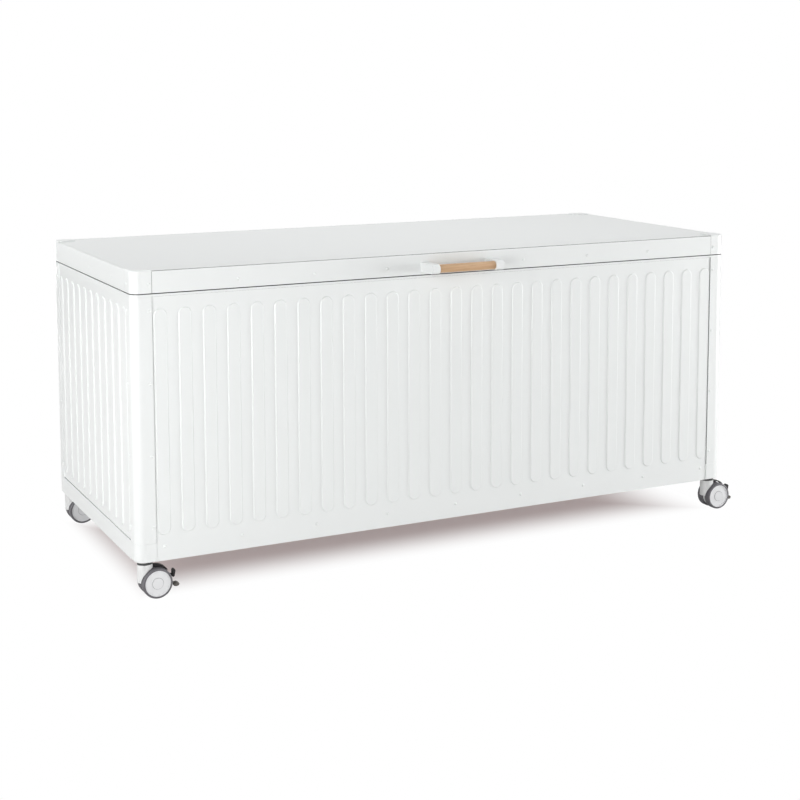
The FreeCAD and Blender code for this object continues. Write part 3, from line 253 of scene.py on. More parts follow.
def speckle_group():
    """Slow mottling and fine grain over a plain colour, with settled dust."""
    group, start = new_group("speckled_surface", [
        ("Colour", COLOUR, (0.8, 0.8, 0.8, 1)),
        ("Mottle", FLOAT, 0.02),
        ("Grain Size", FLOAT, 900.0),
        ("Roughness", FLOAT, 0.4),
        ("Roughness Change", FLOAT, 0.05),
        ("Dust", FLOAT, 0.0),
        ("Dust Height", FLOAT, 0.35),
    ])
    coords = add_node(group, "ShaderNodeTexCoord")
    slow = add_node(group, "ShaderNodeTexNoise", in_Scale=5.0, in_Detail=4.0)
    link(group, coords.outputs["Object"], slow.inputs["Vector"])
    fine = add_node(group, "ShaderNodeTexNoise", in_Detail=2.0)
    link(group, coords.outputs["Object"], fine.inputs["Vector"])
    link(group, start.outputs["Grain Size"], fine.inputs["Scale"])
    centred = calculate(group, "SUBTRACT", slow.outputs["Fac"], NOISE_MIDDLE)
    shade = calculate(group, "MULTIPLY_ADD", centred, start.outputs["Mottle"], 1.0)
    dusty = add_node(group, "ShaderNodeMix", data_type="RGBA", in_B=solid(DUST_COLOUR))
    link(group, dust_amount(group, start, coords, slow.outputs["Fac"]), dusty.inputs["Factor"])
    link(group, scaled_colour(group, start.outputs["Colour"], shade), dusty.inputs["A"])
    change, roughness = start.outputs["Roughness Change"], start.outputs["Roughness"]
    rough = calculate(group, "MULTIPLY_ADD", centred, change, roughness)
    return close_group(group, dusty.outputs["Result"], rough, fine.outputs["Fac"])


def grain_group():
    """Straight wood grain along X with darker streaks and fine pores."""
    group, start = new_group("wood_grain", [
        ("Light", COLOUR, (0.6, 0.4, 0.2, 1)),
        ("Dark", COLOUR, (0.4, 0.2, 0.1, 1)),
    ])
    coords = add_node(group, "ShaderNodeTexCoord")
    streaks = stretched_noise(
        group, coords, WOOD_STREAKS, in_Detail=5.0, in_Roughness=0.6, in_Distortion=0.6
    )
    pores = stretched_noise(group, coords, WOOD_PORES, in_Detail=2.0)
    sharpened = add_node(group, "ShaderNodeMapRange", in_From_Min=0.42, in_From_Max=0.72)
    link(group, streaks, sharpened.inputs["Value"])
    mix = add_node(group, "ShaderNodeMix", data_type="RGBA")
    link(group, sharpened.outputs["Result"], mix.inputs["Factor"])
    link(group, start.outputs["Light"], mix.inputs["A"])
    link(group, start.outputs["Dark"], mix.inputs["B"])
    rough = add_node(group, "ShaderNodeMapRange", in_To_Min=0.42, in_To_Max=0.62)
    link(group, streaks, rough.inputs["Value"])
    return close_group(group, mix.outputs["Result"], rough.outputs["Result"], pores)


def brushed_group():
    """Fine lines along X over a metal."""
    group, start = new_group("brushed_metal", [
        ("Colour", COLOUR, (0.6, 0.6, 0.6, 1)),
        ("Roughness", FLOAT, 0.3),
    ])
    coords = add_node(group, "ShaderNodeTexCoord")
    lines = stretched_noise(group, coords, BRUSHED_LINES, in_Detail=3.0)
    centred = calculate(group, "SUBTRACT", lines, NOISE_MIDDLE)
    shade = calculate(group, "MULTIPLY_ADD", centred, BRUSHED_CHANGE, 1.0)
    tinted = scaled_colour(group, start.outputs["Colour"], shade)
    rough = calculate(group, "MULTIPLY_ADD", centred, BRUSHED_CHANGE, start.outputs["Roughness"])
    return close_group(group, tinted, rough, lines)


# Materials

GROUP_MAKERS = {"speckled": speckle_group, "wood": grain_group, "brushed": brushed_group}
GROUPS = {}
MATERIALS = {}
GRAIN_DEPTH = 0.2 * MM
PLASTIC_IOR = 1.5


def shared_group(name):
    """A node group, built the first time that a material asks for it."""
    if name not in GROUPS:
        GROUPS[name] = GROUP_MAKERS[name]()
    return GROUPS[name]


def surface(name, group_name, values, bump=0.05, metallic=0.0, coat=0.0):
    """A material that takes its colour, roughness and grain from a shared group."""
    material = bpy.data.materials.new(name)
    material.use_nodes = True
    tree = material.node_tree
    shader = tree.nodes["Principled BSDF"]
    group = add_node(tree, "ShaderNodeGroup", node_tree=shared_group(group_name))
    for label, value in values.items():
        group.inputs[label].default_value = value
    link(tree, group.outputs["Colour"], shader.inputs["Base Color"])
    link(tree, group.outputs["Roughness"], shader.inputs["Roughness"])
    relief = add_node(tree, "ShaderNodeBump", in_Strength=bump, in_Distance=GRAIN_DEPTH)
    link(tree, group.outputs["Height"], relief.inputs["Height"])
    link(tree, relief.outputs["Normal"], shader.inputs["Normal"])
    shader.inputs["Metallic"].default_value = metallic
    shader.inputs["Coat Weight"].default_value = coat
    shader.inputs["IOR"].default_value = PLASTIC_IOR
    MATERIALS[name] = material


def make_body_materials(colours):
    """The powder coats, the seals and the wood."""
    surface("powder_coat", "speckled", {
        "Colour": solid(colours.coat), "Mottle": 0.012, "Grain Size": 850.0,
        "Roughness": 0.32, "Roughness Change": 0.012,
    }, bump=0.12)
    surface("floor_coat", "speckled", {
        "Colour": solid(colours.inside), "Mottle": 0.03, "Grain Size": 800.0,
        "Roughness": 0.5, "Roughness Change": 0.1,
    }, bump=0.12)
    # Also darkens the beads of painted shade in the body's seams
    surface("seal_rubber", "speckled", {
        "Colour": solid(colours.seal), "Mottle": 0.2, "Grain Size": 1500.0, "Roughness": 0.7,
    }, bump=0.2)
    # Dark colour of the strips of painted shade in the lid's seams
    surface("painted_seam_shade", "speckled", {
        "Colour": solid(colours.seam_shade), "Mottle": 0.2, "Grain Size": 1500.0, "Roughness": 0.6,
    })
    surface("oiled_wood", "wood", {
        "Light": solid(colours.wood_light), "Dark": solid(colours.wood_dark),
    }, bump=0.25)


def make_castor_materials(colours):
    """The plastics and rubber of the castors."""
    surface("castor_shell", "speckled", {
        "Colour": solid(colours.shell), "Mottle": 0.03, "Grain Size": 1800.0,
        "Roughness": 0.35, "Roughness Change": 0.1, "Dust": 0.1,
    }, bump=0.08)
    surface("hub_plastic", "speckled", {
        "Colour": solid(colours.hub), "Mottle": 0.04, "Grain Size": 2000.0,
        "Roughness": 0.38, "Roughness Change": 0.1,
    }, bump=0.08)
    surface("hub_line", "speckled", {
        "Colour": solid(colours.hub_line), "Mottle": 0.1, "Grain Size": 1500.0, "Roughness": 0.5,
    })
    surface("tyre_rubber", "speckled", {
        "Colour": solid(colours.tyre), "Mottle": 0.2, "Grain Size": 2500.0,
        "Roughness": 0.5, "Roughness Change": 0.1, "Dust": 0.12,
    }, bump=0.2)
    surface("pedal_plastic", "speckled", {
        "Colour": solid(colours.pedal), "Mottle": 0.2, "Grain Size": 2000.0,
        "Roughness": 0.45, "Dust": 0.45, "Dust Height": 0.036,
    }, bump=0.15)
    surface("stem_lacquer", "speckled", {
        "Colour": solid(colours.stem), "Mottle": 0.2, "Grain Size": 1500.0, "Roughness": 0.4,
    })


def make_hardware_materials(colours):
    """The metals of the hinges and the gas struts."""
    surface("strut_lacquer", "speckled", {
        "Colour": solid(colours.tube), "Mottle": 0.2, "Grain Size": 1500.0, "Roughness": 0.28,
    }, coat=0.4)
    surface("hinge_steel", "brushed", {
        "Colour": solid(colours.steel), "Roughness": 0.32,
    }, metallic=1.0)
    surface("strut_chrome", "brushed", {
        "Colour": solid(colours.chrome), "Roughness": 0.08,
    }, metallic=1.0, bump=0.01)


def paint(finishes):
    """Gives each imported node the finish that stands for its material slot."""
    for entry in frame["record"]["subparts"]:
        if entry["material_slot"] in finishes:
            mesh = frame["nodes"][entry["node"]].data
            mesh.materials.clear()
            mesh.materials.append(MATERIALS[finishes[entry["material_slot"]]])


# Mesh helpers


def link_piece(bm, name, body, material, replaced=(), smooth=True):
    """Makes a mesh into a piece of the box that rides on a body, its faces left as they point."""
    for face in bm.faces:
        face.smooth = smooth
    mesh = bpy.data.meshes.new(name)
    bm.to_mesh(mesh)
    bm.free()
    mesh.materials.append(MATERIALS[material])
    piece = bpy.data.objects.new(name, mesh)
    bpy.context.scene.collection.objects.link(piece)
    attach(piece, body)
    if replaced:
        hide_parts(*replaced)
    return piece


def finish_piece(bm, name, body, material, replaced=(), smooth=True):
    """The same, with the faces turned outwards first."""
    bmesh.ops.recalc_face_normals(bm, faces=bm.faces)
    link_piece(bm, name, body, material, replaced, smooth)


def outline_edges(bm, points):
    """The edges of a closed outline."""
    corners = [bm.verts.new((x, y, 0)) for x, y in points]
    return [bm.edges.new((corners[i], corners[i - 1])) for i in range(len(corners))]


# Pressed panels

# Steps inwards and outwards that a slot's edge takes from the flat sheet to its top, in mm
SLOT_STEPS = (
    (0.3, 0.0), (0.45, 0.15), (0.6, 0.5), (1.0, 1.2), (0.6, 0.5), (0.45, 0.15), (0.3, 0.0),
)
SLOT_SPREAD = 0.8 * MM
SLOT_SEGMENTS = 32
# How far a panel reaches into a post, and its cut-out round a base corner: width and top
PANEL_TUCK = 15 * MM
CORNER_CUT = 15.3 * MM
CORNER_CUT_TOP = 139.3 * MM


def slot_ring(bm, x, low, high, radius):
    """The outline of one slot: a circle drawn out upwards."""
    circle = bmesh.ops.create_circle(bm, cap_ends=False, segments=SLOT_SEGMENTS, radius=radius)
    ring = circle["verts"]
    half_step = Matrix.Rotation(math.pi / SLOT_SEGMENTS, 3, "Z")
    bmesh.ops.rotate(bm, verts=ring, cent=(0, 0, 0), matrix=half_step)
    upper = [v for v in ring if v.co.y > 0]
    lower = [v for v in ring if v.co.y < 0]
    bmesh.ops.translate(bm, verts=upper, vec=(x, high - radius, 0))
    bmesh.ops.translate(bm, verts=lower, vec=(x, low + radius, 0))
    return list(dict.fromkeys(edge for v in ring for edge in v.link_edges))


def slot_rings(bm, count, reach, sizes):
    """The outlines of a row of slots, a little wider than the slots for their soft flanks."""
    low = sizes.slot_low - SLOT_SPREAD
    high = sizes.slot_high + SLOT_SPREAD
    radius = sizes.slot_width / 2 + SLOT_SPREAD
    places = [reach * (2 * i / (count - 1) - 1) for i in range(count)]
    return [slot_ring(bm, x, low, high, radius) for x in places]


def panel_outline(low, high, half, is_long):
    """The corners of a sheet, which is cut out round the base corners where it is a long one."""
    if is_long:
        cut = half - CORNER_CUT
        right = [(cut, low), (cut, CORNER_CUT_TOP), (half, CORNER_CUT_TOP), (half, high)]
    else:
        right = [(half, low), (half, high)]
    return right + [(-x, z) for x, z in reversed(right)]


def flat_panel(bm, edges, rings):
    """Fills the sheet round its slots and each slot, and returns the slots' faces."""
    every_edge = edges + [edge for ring in rings for edge in ring]
    bmesh.ops.triangle_fill(bm, edges=every_edge, use_beauty=True, use_dissolve=False)
    pads = []
    for ring in rings:
        pads.extend(bmesh.ops.contextual_create(bm, geom=ring)["faces"])
    bmesh.ops.recalc_face_normals(bm, faces=bm.faces)
    if pads[0].normal.z < 0:
        bmesh.ops.reverse_faces(bm, faces=bm.faces)
    return pads


def stand_up(bm, turn, depth):
    """Sets a sheet that was drawn lying flat upright on its face of the box."""
    stand = (
        Matrix.Rotation(math.radians(turn), 4, "Z")
        @ Matrix.Translation((0, -depth, 0))
        @ Matrix.Rotation(math.radians(90), 4, "X")
    )
    bmesh.ops.transform(bm, matrix=stand, verts=bm.verts)


def pressed_panel(face, turn, sizes):
    """One sheet with its row of raised slots, open at the back where the slots are pressed out."""
    name = face + "_panel"
    low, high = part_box(name)
    is_long = turn in LONG_FACE_TURNS
    count = sizes.front_count if is_long else sizes.side_count
    half = (high.x - low.x) / 2 if is_long else (high.y - low.y) / 2
    outer = max(abs(low.y), abs(high.y)) if is_long else max(abs(low.x), abs(high.x))
    reach = half - PANEL_TUCK - sizes.side_margin - sizes.slot_width / 2
    bm = bmesh.new()
    edges = outline_edges(bm, panel_outline(low.z, high.z, half, is_long))
    pads = flat_panel(bm, edges, slot_rings(bm, count, reach, sizes))
    for inward, outward in SLOT_STEPS:
        bmesh.ops.inset_individual(
            bm, faces=pads, thickness=inward * MM, depth=outward * MM, use_even_offset=True
        )
    stand_up(bm, turn, outer - sizes.rise)
    for edge in bm.edges:
        edge.smooth = not edge.is_boundary
    piece = link_piece(bm, name + "_pressed", "box_body", "powder_coat", [name])
    skin = piece.modifiers.new("sheet", "SOLIDIFY")
    skin.thickness = sizes.sheet
    skin.offset = -1.0
    skin.use_even_offset = True


# The rim's seal, and thin dark beads of painted shade in the seams

# Dark beads of painted shade between the long panels and the posts, and the one under the rim's lip
SHADE_BEAD_WIDTH = 0.7 * MM
SHADE_BEAD_DEPTH = 1.2 * MM
LIP_SHADE_BEAD_HEIGHT = 0.4 * MM
LIP_BELOW_RIM = 5.5 * MM
# The skirt of the rim's seal: in from the box's faces to its two sides, and its height
SKIRT_OUTSIDE = 0.4 * MM
SKIRT_INSIDE = 4.2 * MM
SKIRT_HEIGHT = 0.7 * MM
BOX_CORNER_RADIUS = 25 * MM
BOX_CORNER_STEPS = 10
# The dark block of painted shade in the joint beside a lid corner cap: play at its sides, in from the
# rail's face, and under the top
CAP_WIDTH = 50 * MM
JOINT_PLAY = 0.1 * MM
JOINT_INSET = 0.3 * MM
JOINT_DEPTH = 2.45 * MM
JOINT_BELOW_TOP = 2 * MM
# The dark bead of painted shade along the lid's long top edges: in from the rail's face, and down from
# the top
TOP_SHADE_BEAD_INSET = 0.2 * MM
TOP_SHADE_BEAD_DEPTH = 1.4 * MM
TOP_SHADE_BEAD_FOOT = 1.15 * MM
TOP_SHADE_BEAD_TOP = 0.15 * MM


def add_turned_block(bm, low, high, turn):
    """A plain block drawn for the front face between two corners, and turned to another face."""
    made = bmesh.ops.create_cube(bm, size=1.0)["verts"]
    bmesh.ops.scale(bm, verts=made, vec=Vector(high) - Vector(low))
    bmesh.ops.translate(bm, verts=made, vec=(Vector(low) + Vector(high)) / 2)
    matrix = Matrix.Rotation(math.radians(turn), 3, "Z")
    bmesh.ops.rotate(bm, verts=made, cent=(0, 0, 0), matrix=matrix)


def rounded_outline(half_x, half_y, radius):
    """Points of a rectangle with round corners."""
    points = []
    for sign_x, sign_y, start in ((1, 1, 0), (-1, 1, 90), (-1, -1, 180), (1, -1, 270)):
        centre_x = (half_x - radius) * sign_x
        centre_y = (half_y - radius) * sign_y
        for i in range(BOX_CORNER_STEPS + 1):
            angle = math.radians(start + 90 * i / BOX_CORNER_STEPS)
            x = centre_x + radius * math.cos(angle)
            y = centre_y + radius * math.sin(angle)
            points.append((x, y))
    return points


def add_ring(bm, outer, inner, low, high):
    """A flat ring between two outlines, with a thickness."""
    before = set(bm.faces)
    edges = outline_edges(bm, outer) + outline_edges(bm, inner)
    bmesh.ops.triangle_fill(bm, edges=edges, use_beauty=True, use_dissolve=False)
    flat = [face for face in bm.faces if face not in before]
    verts = list(dict.fromkeys(v for face in flat for v in face.verts))
    bmesh.ops.translate(bm, verts=verts, vec=(0, 0, low))
    made = bmesh.ops.extrude_face_region(bm, geom=flat, use_keep_orig=True)["geom"]
    top = [item for item in made if isinstance(item, bmesh.types.BMVert)]
    bmesh.ops.translate(bm, verts=top, vec=(0, 0, high - low))


def body_seal_and_shade_beads(rise):
    """Dark beads of painted shade where the long panels meet the posts and the lip, and the skirt of the
    rim's seal.
    """
    post_low, post_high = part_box("corner_post_front_left")
    half_x, half_y = -post_low.x, -post_low.y
    edge = -post_high.x
    sheet_face = -(half_y - rise)
    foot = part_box("base_corners")[1].z
    rim_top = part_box("rim_frame")[1].z
    lip = rim_top - LIP_BELOW_RIM
    bm = bmesh.new()
    for turn in LONG_FACE_TURNS:
        for side in (-1, 1):
            x_low, x_high = sorted(((edge - SHADE_BEAD_WIDTH) * side, edge * side))
            low = (x_low, sheet_face - SHADE_BEAD_DEPTH, foot)
            add_turned_block(bm, low, (x_high, sheet_face, lip), turn)
        low = (-edge, sheet_face - SHADE_BEAD_DEPTH, lip - LIP_SHADE_BEAD_HEIGHT)
        add_turned_block(bm, low, (edge, sheet_face, lip), turn)
    outer, inner = [
        rounded_outline(half_x - inset, half_y - inset, BOX_CORNER_RADIUS - inset)
        for inset in (SKIRT_OUTSIDE, SKIRT_INSIDE)
    ]
    add_ring(bm, outer, inner, rim_top, rim_top + SKIRT_HEIGHT)
    # The beads of painted shade take the dark rubber finish of the rim's seal
    finish_piece(bm, "body_seal_and_shade_beads", "box_body", "seal_rubber", smooth=False)


def lid_shade_strips():
    """Dark strips of painted shade between the long lid rails, the corner caps and the top sheet."""
    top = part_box("lid_top_sheet")[1].z
    rail_low, rail_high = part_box("lid_rail_front")
    cap_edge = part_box("lid_corners")[1].x - CAP_WIDTH
    face = rail_low.y
    bm = bmesh.new()
    for turn in LONG_FACE_TURNS:
        for side in (-1, 1):
            ends = ((rail_high.x + JOINT_PLAY) * side, (cap_edge - JOINT_PLAY) * side)
            low = (min(ends), face + JOINT_INSET, rail_low.z + JOINT_INSET)
            high = (max(ends), face + JOINT_DEPTH, top - JOINT_BELOW_TOP)
            add_turned_block(bm, low, high, turn)
        low = (-rail_high.x, face + TOP_SHADE_BEAD_INSET, top - TOP_SHADE_BEAD_FOOT)
        high = (rail_high.x, face + TOP_SHADE_BEAD_DEPTH, top - TOP_SHADE_BEAD_TOP)
        add_turned_block(bm, low, high, turn)
    finish_piece(bm, "lid_shade_strips", "lid", "painted_seam_shade", smooth=False)


# Turned pieces

# The rounded ends of the grip, and into how many flats it is turned
GRIP_ROUNDING = 2.5 * MM
GRIP_ROUNDING_STEPS = 5
GRIP_STEPS = 64
# The line round the cap of a hub: the cap, how deep the dish round it is, and the line's section
HUB_CAP_RADIUS = 13.5 * MM
HUB_DISH = 1.2 * MM
HUB_LINE_START = 0.05 * MM
HUB_LINE_END = 0.9 * MM
HUB_LINE_HEIGHT = 0.35 * MM
HUB_LINE_STEPS = 48
# Points closer than this are one
MERGE_DISTANCE = 0.001 * MM


def turned_shape(bm, points, centre, axis, steps):
    """Spins an outline of (radius, distance along the axis) into a closed round shape."""
    axis = Vector(axis).normalized()
    side = axis.orthogonal().normalized()
    verts = [bm.verts.new(Vector(centre) + side * radius + axis * along) for radius, along in points]
    edges = [bm.edges.new((verts[i], verts[i + 1])) for i in range(len(verts) - 1)]
    bmesh.ops.spin(
        bm, geom=verts + edges, cent=centre, axis=axis, angle=math.tau, steps=steps, use_merge=True
    )
    bmesh.ops.remove_doubles(bm, verts=bm.verts, dist=MERGE_DISTANCE)


def grip_end(radius, half):
    """The rounded edge at one end of the grip, in (radius, along), from the outside to the end."""
    points = []
    for i in range(GRIP_ROUNDING_STEPS + 1):
        angle = math.radians(90 * i / GRIP_ROUNDING_STEPS)
        out = radius - GRIP_ROUNDING + GRIP_ROUNDING * math.cos(angle)
        along = half - GRIP_ROUNDING + GRIP_ROUNDING * math.sin(angle)
        points.append((out, along))
    return points


def wooden_grip():
    """The dowel with its rounded ends."""
    low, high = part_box("handle_grip")
    centre = (low + high) / 2
    radius = (high.z - low.z) / 2
    half = (high.x - low.x) / 2
    right = grip_end(radius, half)
    left = [(out, -along) for out, along in reversed(right)]
    outline = [(0, -half)] + left + [(radius, 0.0)] + right + [(0, half)]
    bm = bmesh.new()
    turned_shape(bm, outline, centre, (1, 0, 0), GRIP_STEPS)
    finish_piece(bm, "wooden_grip", "lid", "oiled_wood", ["handle_grip"])


def hub_ring(wheel):
    """The dark line round the cap of a hub, on its outer face."""
    low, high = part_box("hub_" + wheel)
    centre = (low + high) / 2
    outward = -1 if wheel.endswith("near") else 1
    face = low.y if outward < 0 else high.y
    foot = face - HUB_DISH * outward
    inner = HUB_CAP_RADIUS + HUB_LINE_START
    outer = HUB_CAP_RADIUS + HUB_LINE_END
    outline = [
        (inner, 0.0), (outer, 0.0), (outer, HUB_LINE_HEIGHT), (inner, HUB_LINE_HEIGHT), (inner, 0.0),
    ]
    bm = bmesh.new()
    turned_shape(bm, outline, (centre.x, foot, centre.z), (0, outward, 0), HUB_LINE_STEPS)
    finish_piece(bm, "hub_ring_" + wheel, "wheel_" + wheel, "hub_line", smooth=False)


# Studio

# The shade under the box as the camera sees it: its footprint, its depth and how fast the ends fade
FOOTPRINT = (0.875, 0.375)
SHADE_DEPTH = 0.22
SHADE_LEFT = 1.8
SHADE_RIGHT = 0.75
# The floor's paper, the same in the shade, and the light that the shade sends out by itself
FLOOR_SIZE = 40.0
PAPER = (0.80, 0.785, 0.78)
SHADED_PAPER = (0.42, 0.36, 0.352)
SHADE_GLOW = (0.272, 0.231, 0.228)
SKY = (0.98, 1.0, 1.0)
WHITE = (1.0, 1.0, 1.0)
SENSOR_WIDTH = 36.0
VIEW_END = 200.0
# Each lamp's place and the point it faces, in m, its width and height, and its power in W
LAMPS = {
    "left_light": ((-2.8, -1.9, 1.1), (-0.7, -0.2, 0.4), (1.6, 2.0), 35.0),
    "low_left_light": ((-3.4, -3.2, 0.6), (-0.4, 0.0, 0.3), (1.6, 0.8), 33.0),
    "right_light": ((4.0, -1.8, 0.7), (0.4, -0.3, 0.4), (1.8, 1.2), 98.0),
    "far_right_light": ((6.0, -2.2, 0.8), (0.0, -0.3, 0.4), (2.5, 1.4), 22.0),
    "front_right_light": ((1.8, -4.4, 1.8), (0.5, 0.0, 0.4), (2.0, 1.6), 20.0),
    "left_side_light": ((-3.6, 0.6, 0.9), (-0.9, 0.0, 0.4), (1.6, 1.6), 22.0),
    "high_front_light": ((-1.2, -4.6, 2.8), (0.0, 0.0, 0.4), (2.0, 1.6), 20.0),
    "top_light": ((0.2, 0.3, 3.2), (0.0, 0.0, 0.8), (3.0, 2.0), 42.0),
    "back_left_light": ((-2.2, 2.6, 2.4), (-0.3, 0.0, 0.6), (1.6, 1.6), 12.0),
    "back_light": ((-0.6, 4.2, 0.7), (-0.1, 0.3, 0.4), (1.2, 1.0), 55.0),
}


def shade_strength(tree):
    """How far a floor point lies within the box's footprint, from 0 at its edge to 1 in full shade."""
    coords = add_node(tree, "ShaderNodeTexCoord")
    parts = add_node(tree, "ShaderNodeSeparateXYZ")
    link(tree, coords.outputs["Object"], parts.inputs[0])
    half_x, half_y = FOOTPRINT
    sides = (
        ("X", SHADE_LEFT, half_x * SHADE_LEFT),
        ("X", -SHADE_RIGHT, half_x * SHADE_RIGHT),
        ("Y", 1.0, half_y),
        ("Y", -1.0, half_y),
    )
    insides = [
        calculate(tree, "MULTIPLY_ADD", parts.outputs[axis], slope, reach)
        for axis, slope, reach in sides
    ]
    nearest = insides[0]
    for inside in insides[1:]:
        nearest = calculate(tree, "MINIMUM", nearest, inside)
    fade = add_node(tree, "ShaderNodeMapRange", interpolation_type="SMOOTHSTEP")
    fade.inputs["From Max"].default_value = SHADE_DEPTH
    link(tree, nearest, fade.inputs["Value"])
    return fade.outputs["Result"]


def mix_shaders(tree, factor, first, second):
    """Two shaders mixed by a factor."""
    mix = add_node(tree, "ShaderNodeMixShader")
    link(tree, factor, mix.inputs["Fac"])
    link(tree, first, mix.inputs[1])
    link(tree, second, mix.inputs[2])
    return mix.outputs[0]


def paint_floor(material):
    """Pale paper that the camera sees as white, apart from the shade under the box."""
    material.use_nodes = True
    tree = material.node_tree
    tree.nodes.clear()
    output = add_node(tree, "ShaderNodeOutputMaterial")
    paper = add_node(tree, "ShaderNodeBsdfDiffuse", in_Color=solid(PAPER))
    shaded_paper = add_node(tree, "ShaderNodeBsdfDiffuse", in_Color=solid(SHADED_PAPER))
    glow = add_node(tree, "ShaderNodeEmission", in_Color=solid(SHADE_GLOW), in_Strength=1.0)
    white = add_node(tree, "ShaderNodeEmission", in_Color=solid(WHITE), in_Strength=1.0)
    shade = add_node(tree, "ShaderNodeAddShader")
    link(tree, shaded_paper.outputs[0], shade.inputs[0])
    link(tree, glow.outputs[0], shade.inputs[1])
    path = add_node(tree, "ShaderNodeLightPath")
    seen = mix_shaders(tree, shade_strength(tree), white.outputs[0], shade.outputs[0])
    floor = mix_shaders(tree, path.outputs["Is Camera Ray"], paper.outputs[0], seen)
    link(tree, floor, output.inputs["Surface"])


def studio_floor():
    """A wide pale floor with a soft shade under the box."""
    bm = bmesh.new()
    bmesh.ops.create_grid(bm, x_segments=1, y_segments=1, size=FLOOR_SIZE)
    mesh = bpy.data.meshes.new("studio_floor")
    bm.to_mesh(mesh)
    bm.free()
    floor = bpy.data.objects.new("studio_floor", mesh)
    bpy.context.scene.collection.objects.link(floor)
    material = bpy.data.materials.new("studio_floor")
    paint_floor(material)
    mesh.materials.append(material)


def studio_world(ambient):
    """Even light all round that the camera and reflections see as white."""
    world = bpy.data.worlds.new("studio_world")
    bpy.context.scene.world = world
    world.use_nodes = True
    tree = world.node_tree
    tree.nodes.clear()
    output = add_node(tree, "ShaderNodeOutputWorld")
    light = add_node(tree, "ShaderNodeBackground", in_Color=solid(SKY), in_Strength=ambient)
    white = add_node(tree, "ShaderNodeBackground", in_Color=solid(WHITE), in_Strength=1.0)
    rays = add_node(tree, "ShaderNodeLightPath").outputs
    mirrored = calculate(tree, "MAXIMUM", rays["Is Glossy Ray"], rays["Is Transmission Ray"])
    seen = calculate(tree, "MAXIMUM", rays["Is Camera Ray"], mirrored)
    both = mix_shaders(tree, seen, light.outputs[0], white.outputs[0])
    link(tree, both, output.inputs["Surface"])


def soft_light(name, place, target, size, power):
    """A rectangular soft light aimed at a point."""
    data = bpy.data.lights.new(name, "AREA")
    data.shape = "RECTANGLE"
    data.size, data.size_y = size
    data.energy = power
    lamp = bpy.data.objects.new(name, data)
    lamp.location = place
    lamp.rotation_euler = (Vector(target) - Vector(place)).to_track_quat("-Z", "Y").to_euler()
    lamp.visible_camera = False
    bpy.context.scene.collection.objects.link(lamp)


def studio_camera(studio):
    """The photograph's view."""
    yaw, pitch, roll = studio.yaw, studio.pitch, studio.roll
    level = math.cos(pitch)
    forward = Vector((-math.sin(yaw) * level, math.cos(yaw) * level, -math.sin(pitch)))
    right = Vector((math.cos(yaw), math.sin(yaw), 0))
    up = right.cross(forward)
    leaned_right = right * math.cos(roll) + up * math.sin(roll)
    leaned_up = up * math.cos(roll) - right * math.sin(roll)
    data = bpy.data.cameras.new("photo_camera")
    data.sensor_width = SENSOR_WIDTH
    data.lens = studio.focal
    data.shift_y = studio.shift
    data.clip_end = VIEW_END
    camera = bpy.data.objects.new("photo_camera", data)
    turn = Matrix((leaned_right, leaned_up, -forward)).transposed().to_4x4()
    camera.matrix_world = Matrix.Translation(studio.place) @ turn
    bpy.context.scene.collection.objects.link(camera)
    bpy.context.scene.camera = camera


# Operators, one for each group of pieces and one for the stage


class PressPanels(bpy.types.Operator):
    """Presses the raised slots into the four panels"""

    bl_idname = "storagebox.press_panels"
    bl_label = "Press the panels"

    def execute(self, context):
        for face, turn in FACE_TURNS:
            pressed_panel(face, turn, context.scene.box_panels)
        return {"FINISHED"}


class CoatMetal(bpy.types.Operator):
    """Powder-coats the posts, rails, rim, floor, lid, hinge leaves, grip brackets and rivets"""

    bl_idname = "storagebox.coat_metal"
    bl_label = "Coat the metal"

    def execute(self, context):
        paint({"powder_coat": "powder_coat", "rivet_coat": "powder_coat", "floor_coat": "floor_coat"})
        return {"FINISHED"}


class LaySealAndShadeBeads(bpy.types.Operator):
    """Lays the rubber seal on the rim, and dark beads of painted shade in the seams"""

    bl_idname = "storagebox.lay_seals"
    bl_label = "Lay the seals"

    def execute(self, context):
        paint({"seal_rubber": "seal_rubber"})
        body_seal_and_shade_beads(context.scene.box_panels.rise)
        lid_shade_strips()
        return {"FINISHED"}


class FinishHardware(bpy.types.Operator):
    """Finishes the hinge pins, the strut brackets and the gas struts"""

    bl_idname = "storagebox.finish_hardware"
    bl_label = "Finish the hardware"

    def execute(self, context):
        paint({
            "hinge_steel": "hinge_steel", "strut_tube": "strut_lacquer", "strut_rod": "strut_chrome",
        })
        return {"FINISHED"}


class TurnGrip(bpy.types.Operator):
    """Turns the wooden grip between its brackets"""

    bl_idname = "storagebox.turn_grip"
    bl_label = "Turn the grip"

    def execute(self, context):
        wooden_grip()
        return {"FINISHED"}


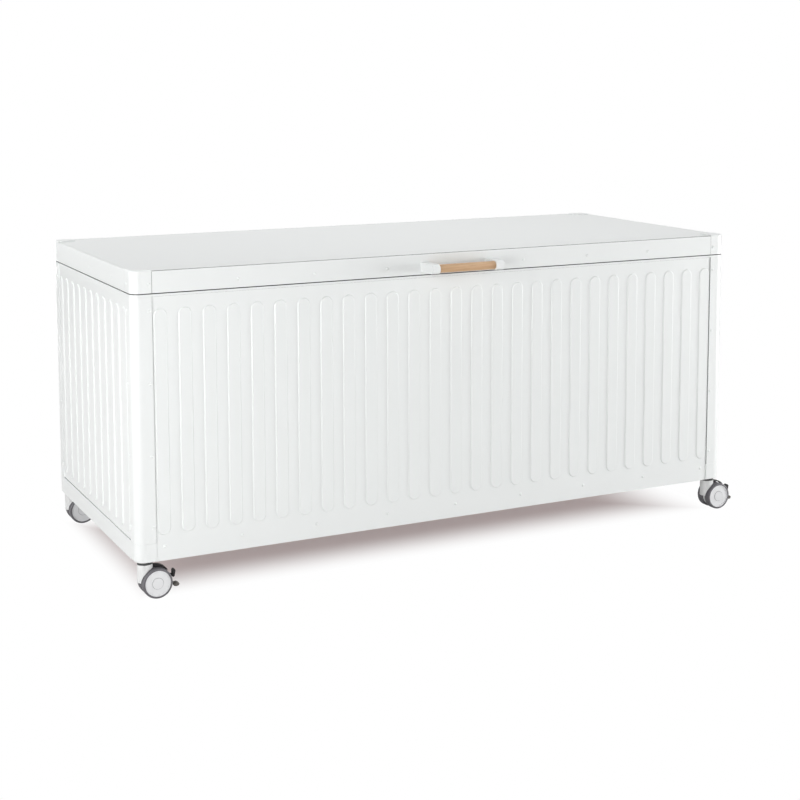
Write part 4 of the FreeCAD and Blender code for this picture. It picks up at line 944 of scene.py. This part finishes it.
class DressCastors(bpy.types.Operator):
    """Finishes the stems, housings, wheels and pedals of the castors"""

    bl_idname = "storagebox.dress_castors"
    bl_label = "Dress the castors"

    def execute(self, context):
        paint({
            "stem_steel": "stem_lacquer", "castor_shell": "castor_shell",
            "wheel_hub": "hub_plastic", "wheel_tyre": "tyre_rubber", "pedal_plastic": "pedal_plastic",
        })
        for corner in CASTOR_CORNERS:
            hub_ring(corner + "_near")
            hub_ring(corner + "_far")
        return {"FINISHED"}


class SetStage(bpy.types.Operator):
    """Sets up the floor, the light and the camera"""

    bl_idname = "storagebox.set_stage"
    bl_label = "Set the stage"

    def execute(self, context):
        studio = context.scene.box_studio
        studio_floor()
        studio_world(studio.ambient)
        for name, lamp in LAMPS.items():
            soft_light(name, *lamp)
        studio_camera(studio)
        context.scene.view_settings.view_transform = "Standard"
        return {"FINISHED"}


OPERATORS = (PressPanels, CoatMetal, LaySealAndShadeBeads, FinishHardware, TurnGrip, DressCastors, SetStage)


class BoxPanel(bpy.types.Panel):
    """The steps that dress the box"""

    bl_idname = "VIEW3D_PT_storagebox"
    bl_label = "Storage Box"
    bl_space_type = "VIEW_3D"
    bl_region_type = "UI"
    bl_category = "Storage Box"

    def draw(self, context):
        for operator in OPERATORS:
            self.layout.operator(operator.bl_idname)


CLASSES = (BoxColours, PanelSizes, StudioSizes) + OPERATORS + (BoxPanel,)


def register():
    for item in CLASSES:
        bpy.utils.register_class(item)
    bpy.types.Scene.box_colours = bpy.props.PointerProperty(type=BoxColours)
    bpy.types.Scene.box_panels = bpy.props.PointerProperty(type=PanelSizes)
    bpy.types.Scene.box_studio = bpy.props.PointerProperty(type=StudioSizes)


def unregister():
    del bpy.types.Scene.box_studio
    del bpy.types.Scene.box_panels
    del bpy.types.Scene.box_colours
    for item in reversed(CLASSES):
        bpy.utils.unregister_class(item)


def main():
    register()
    colours = bpy.context.scene.box_colours
    make_body_materials(colours)
    make_castor_materials(colours)
    make_hardware_materials(colours)
    bpy.ops.storagebox.press_panels()
    bpy.ops.storagebox.coat_metal()
    bpy.ops.storagebox.lay_seals()
    bpy.ops.storagebox.finish_hardware()
    bpy.ops.storagebox.turn_grip()
    bpy.ops.storagebox.dress_castors()
    bpy.ops.storagebox.set_stage()


if __name__ == "__main__":
    main()
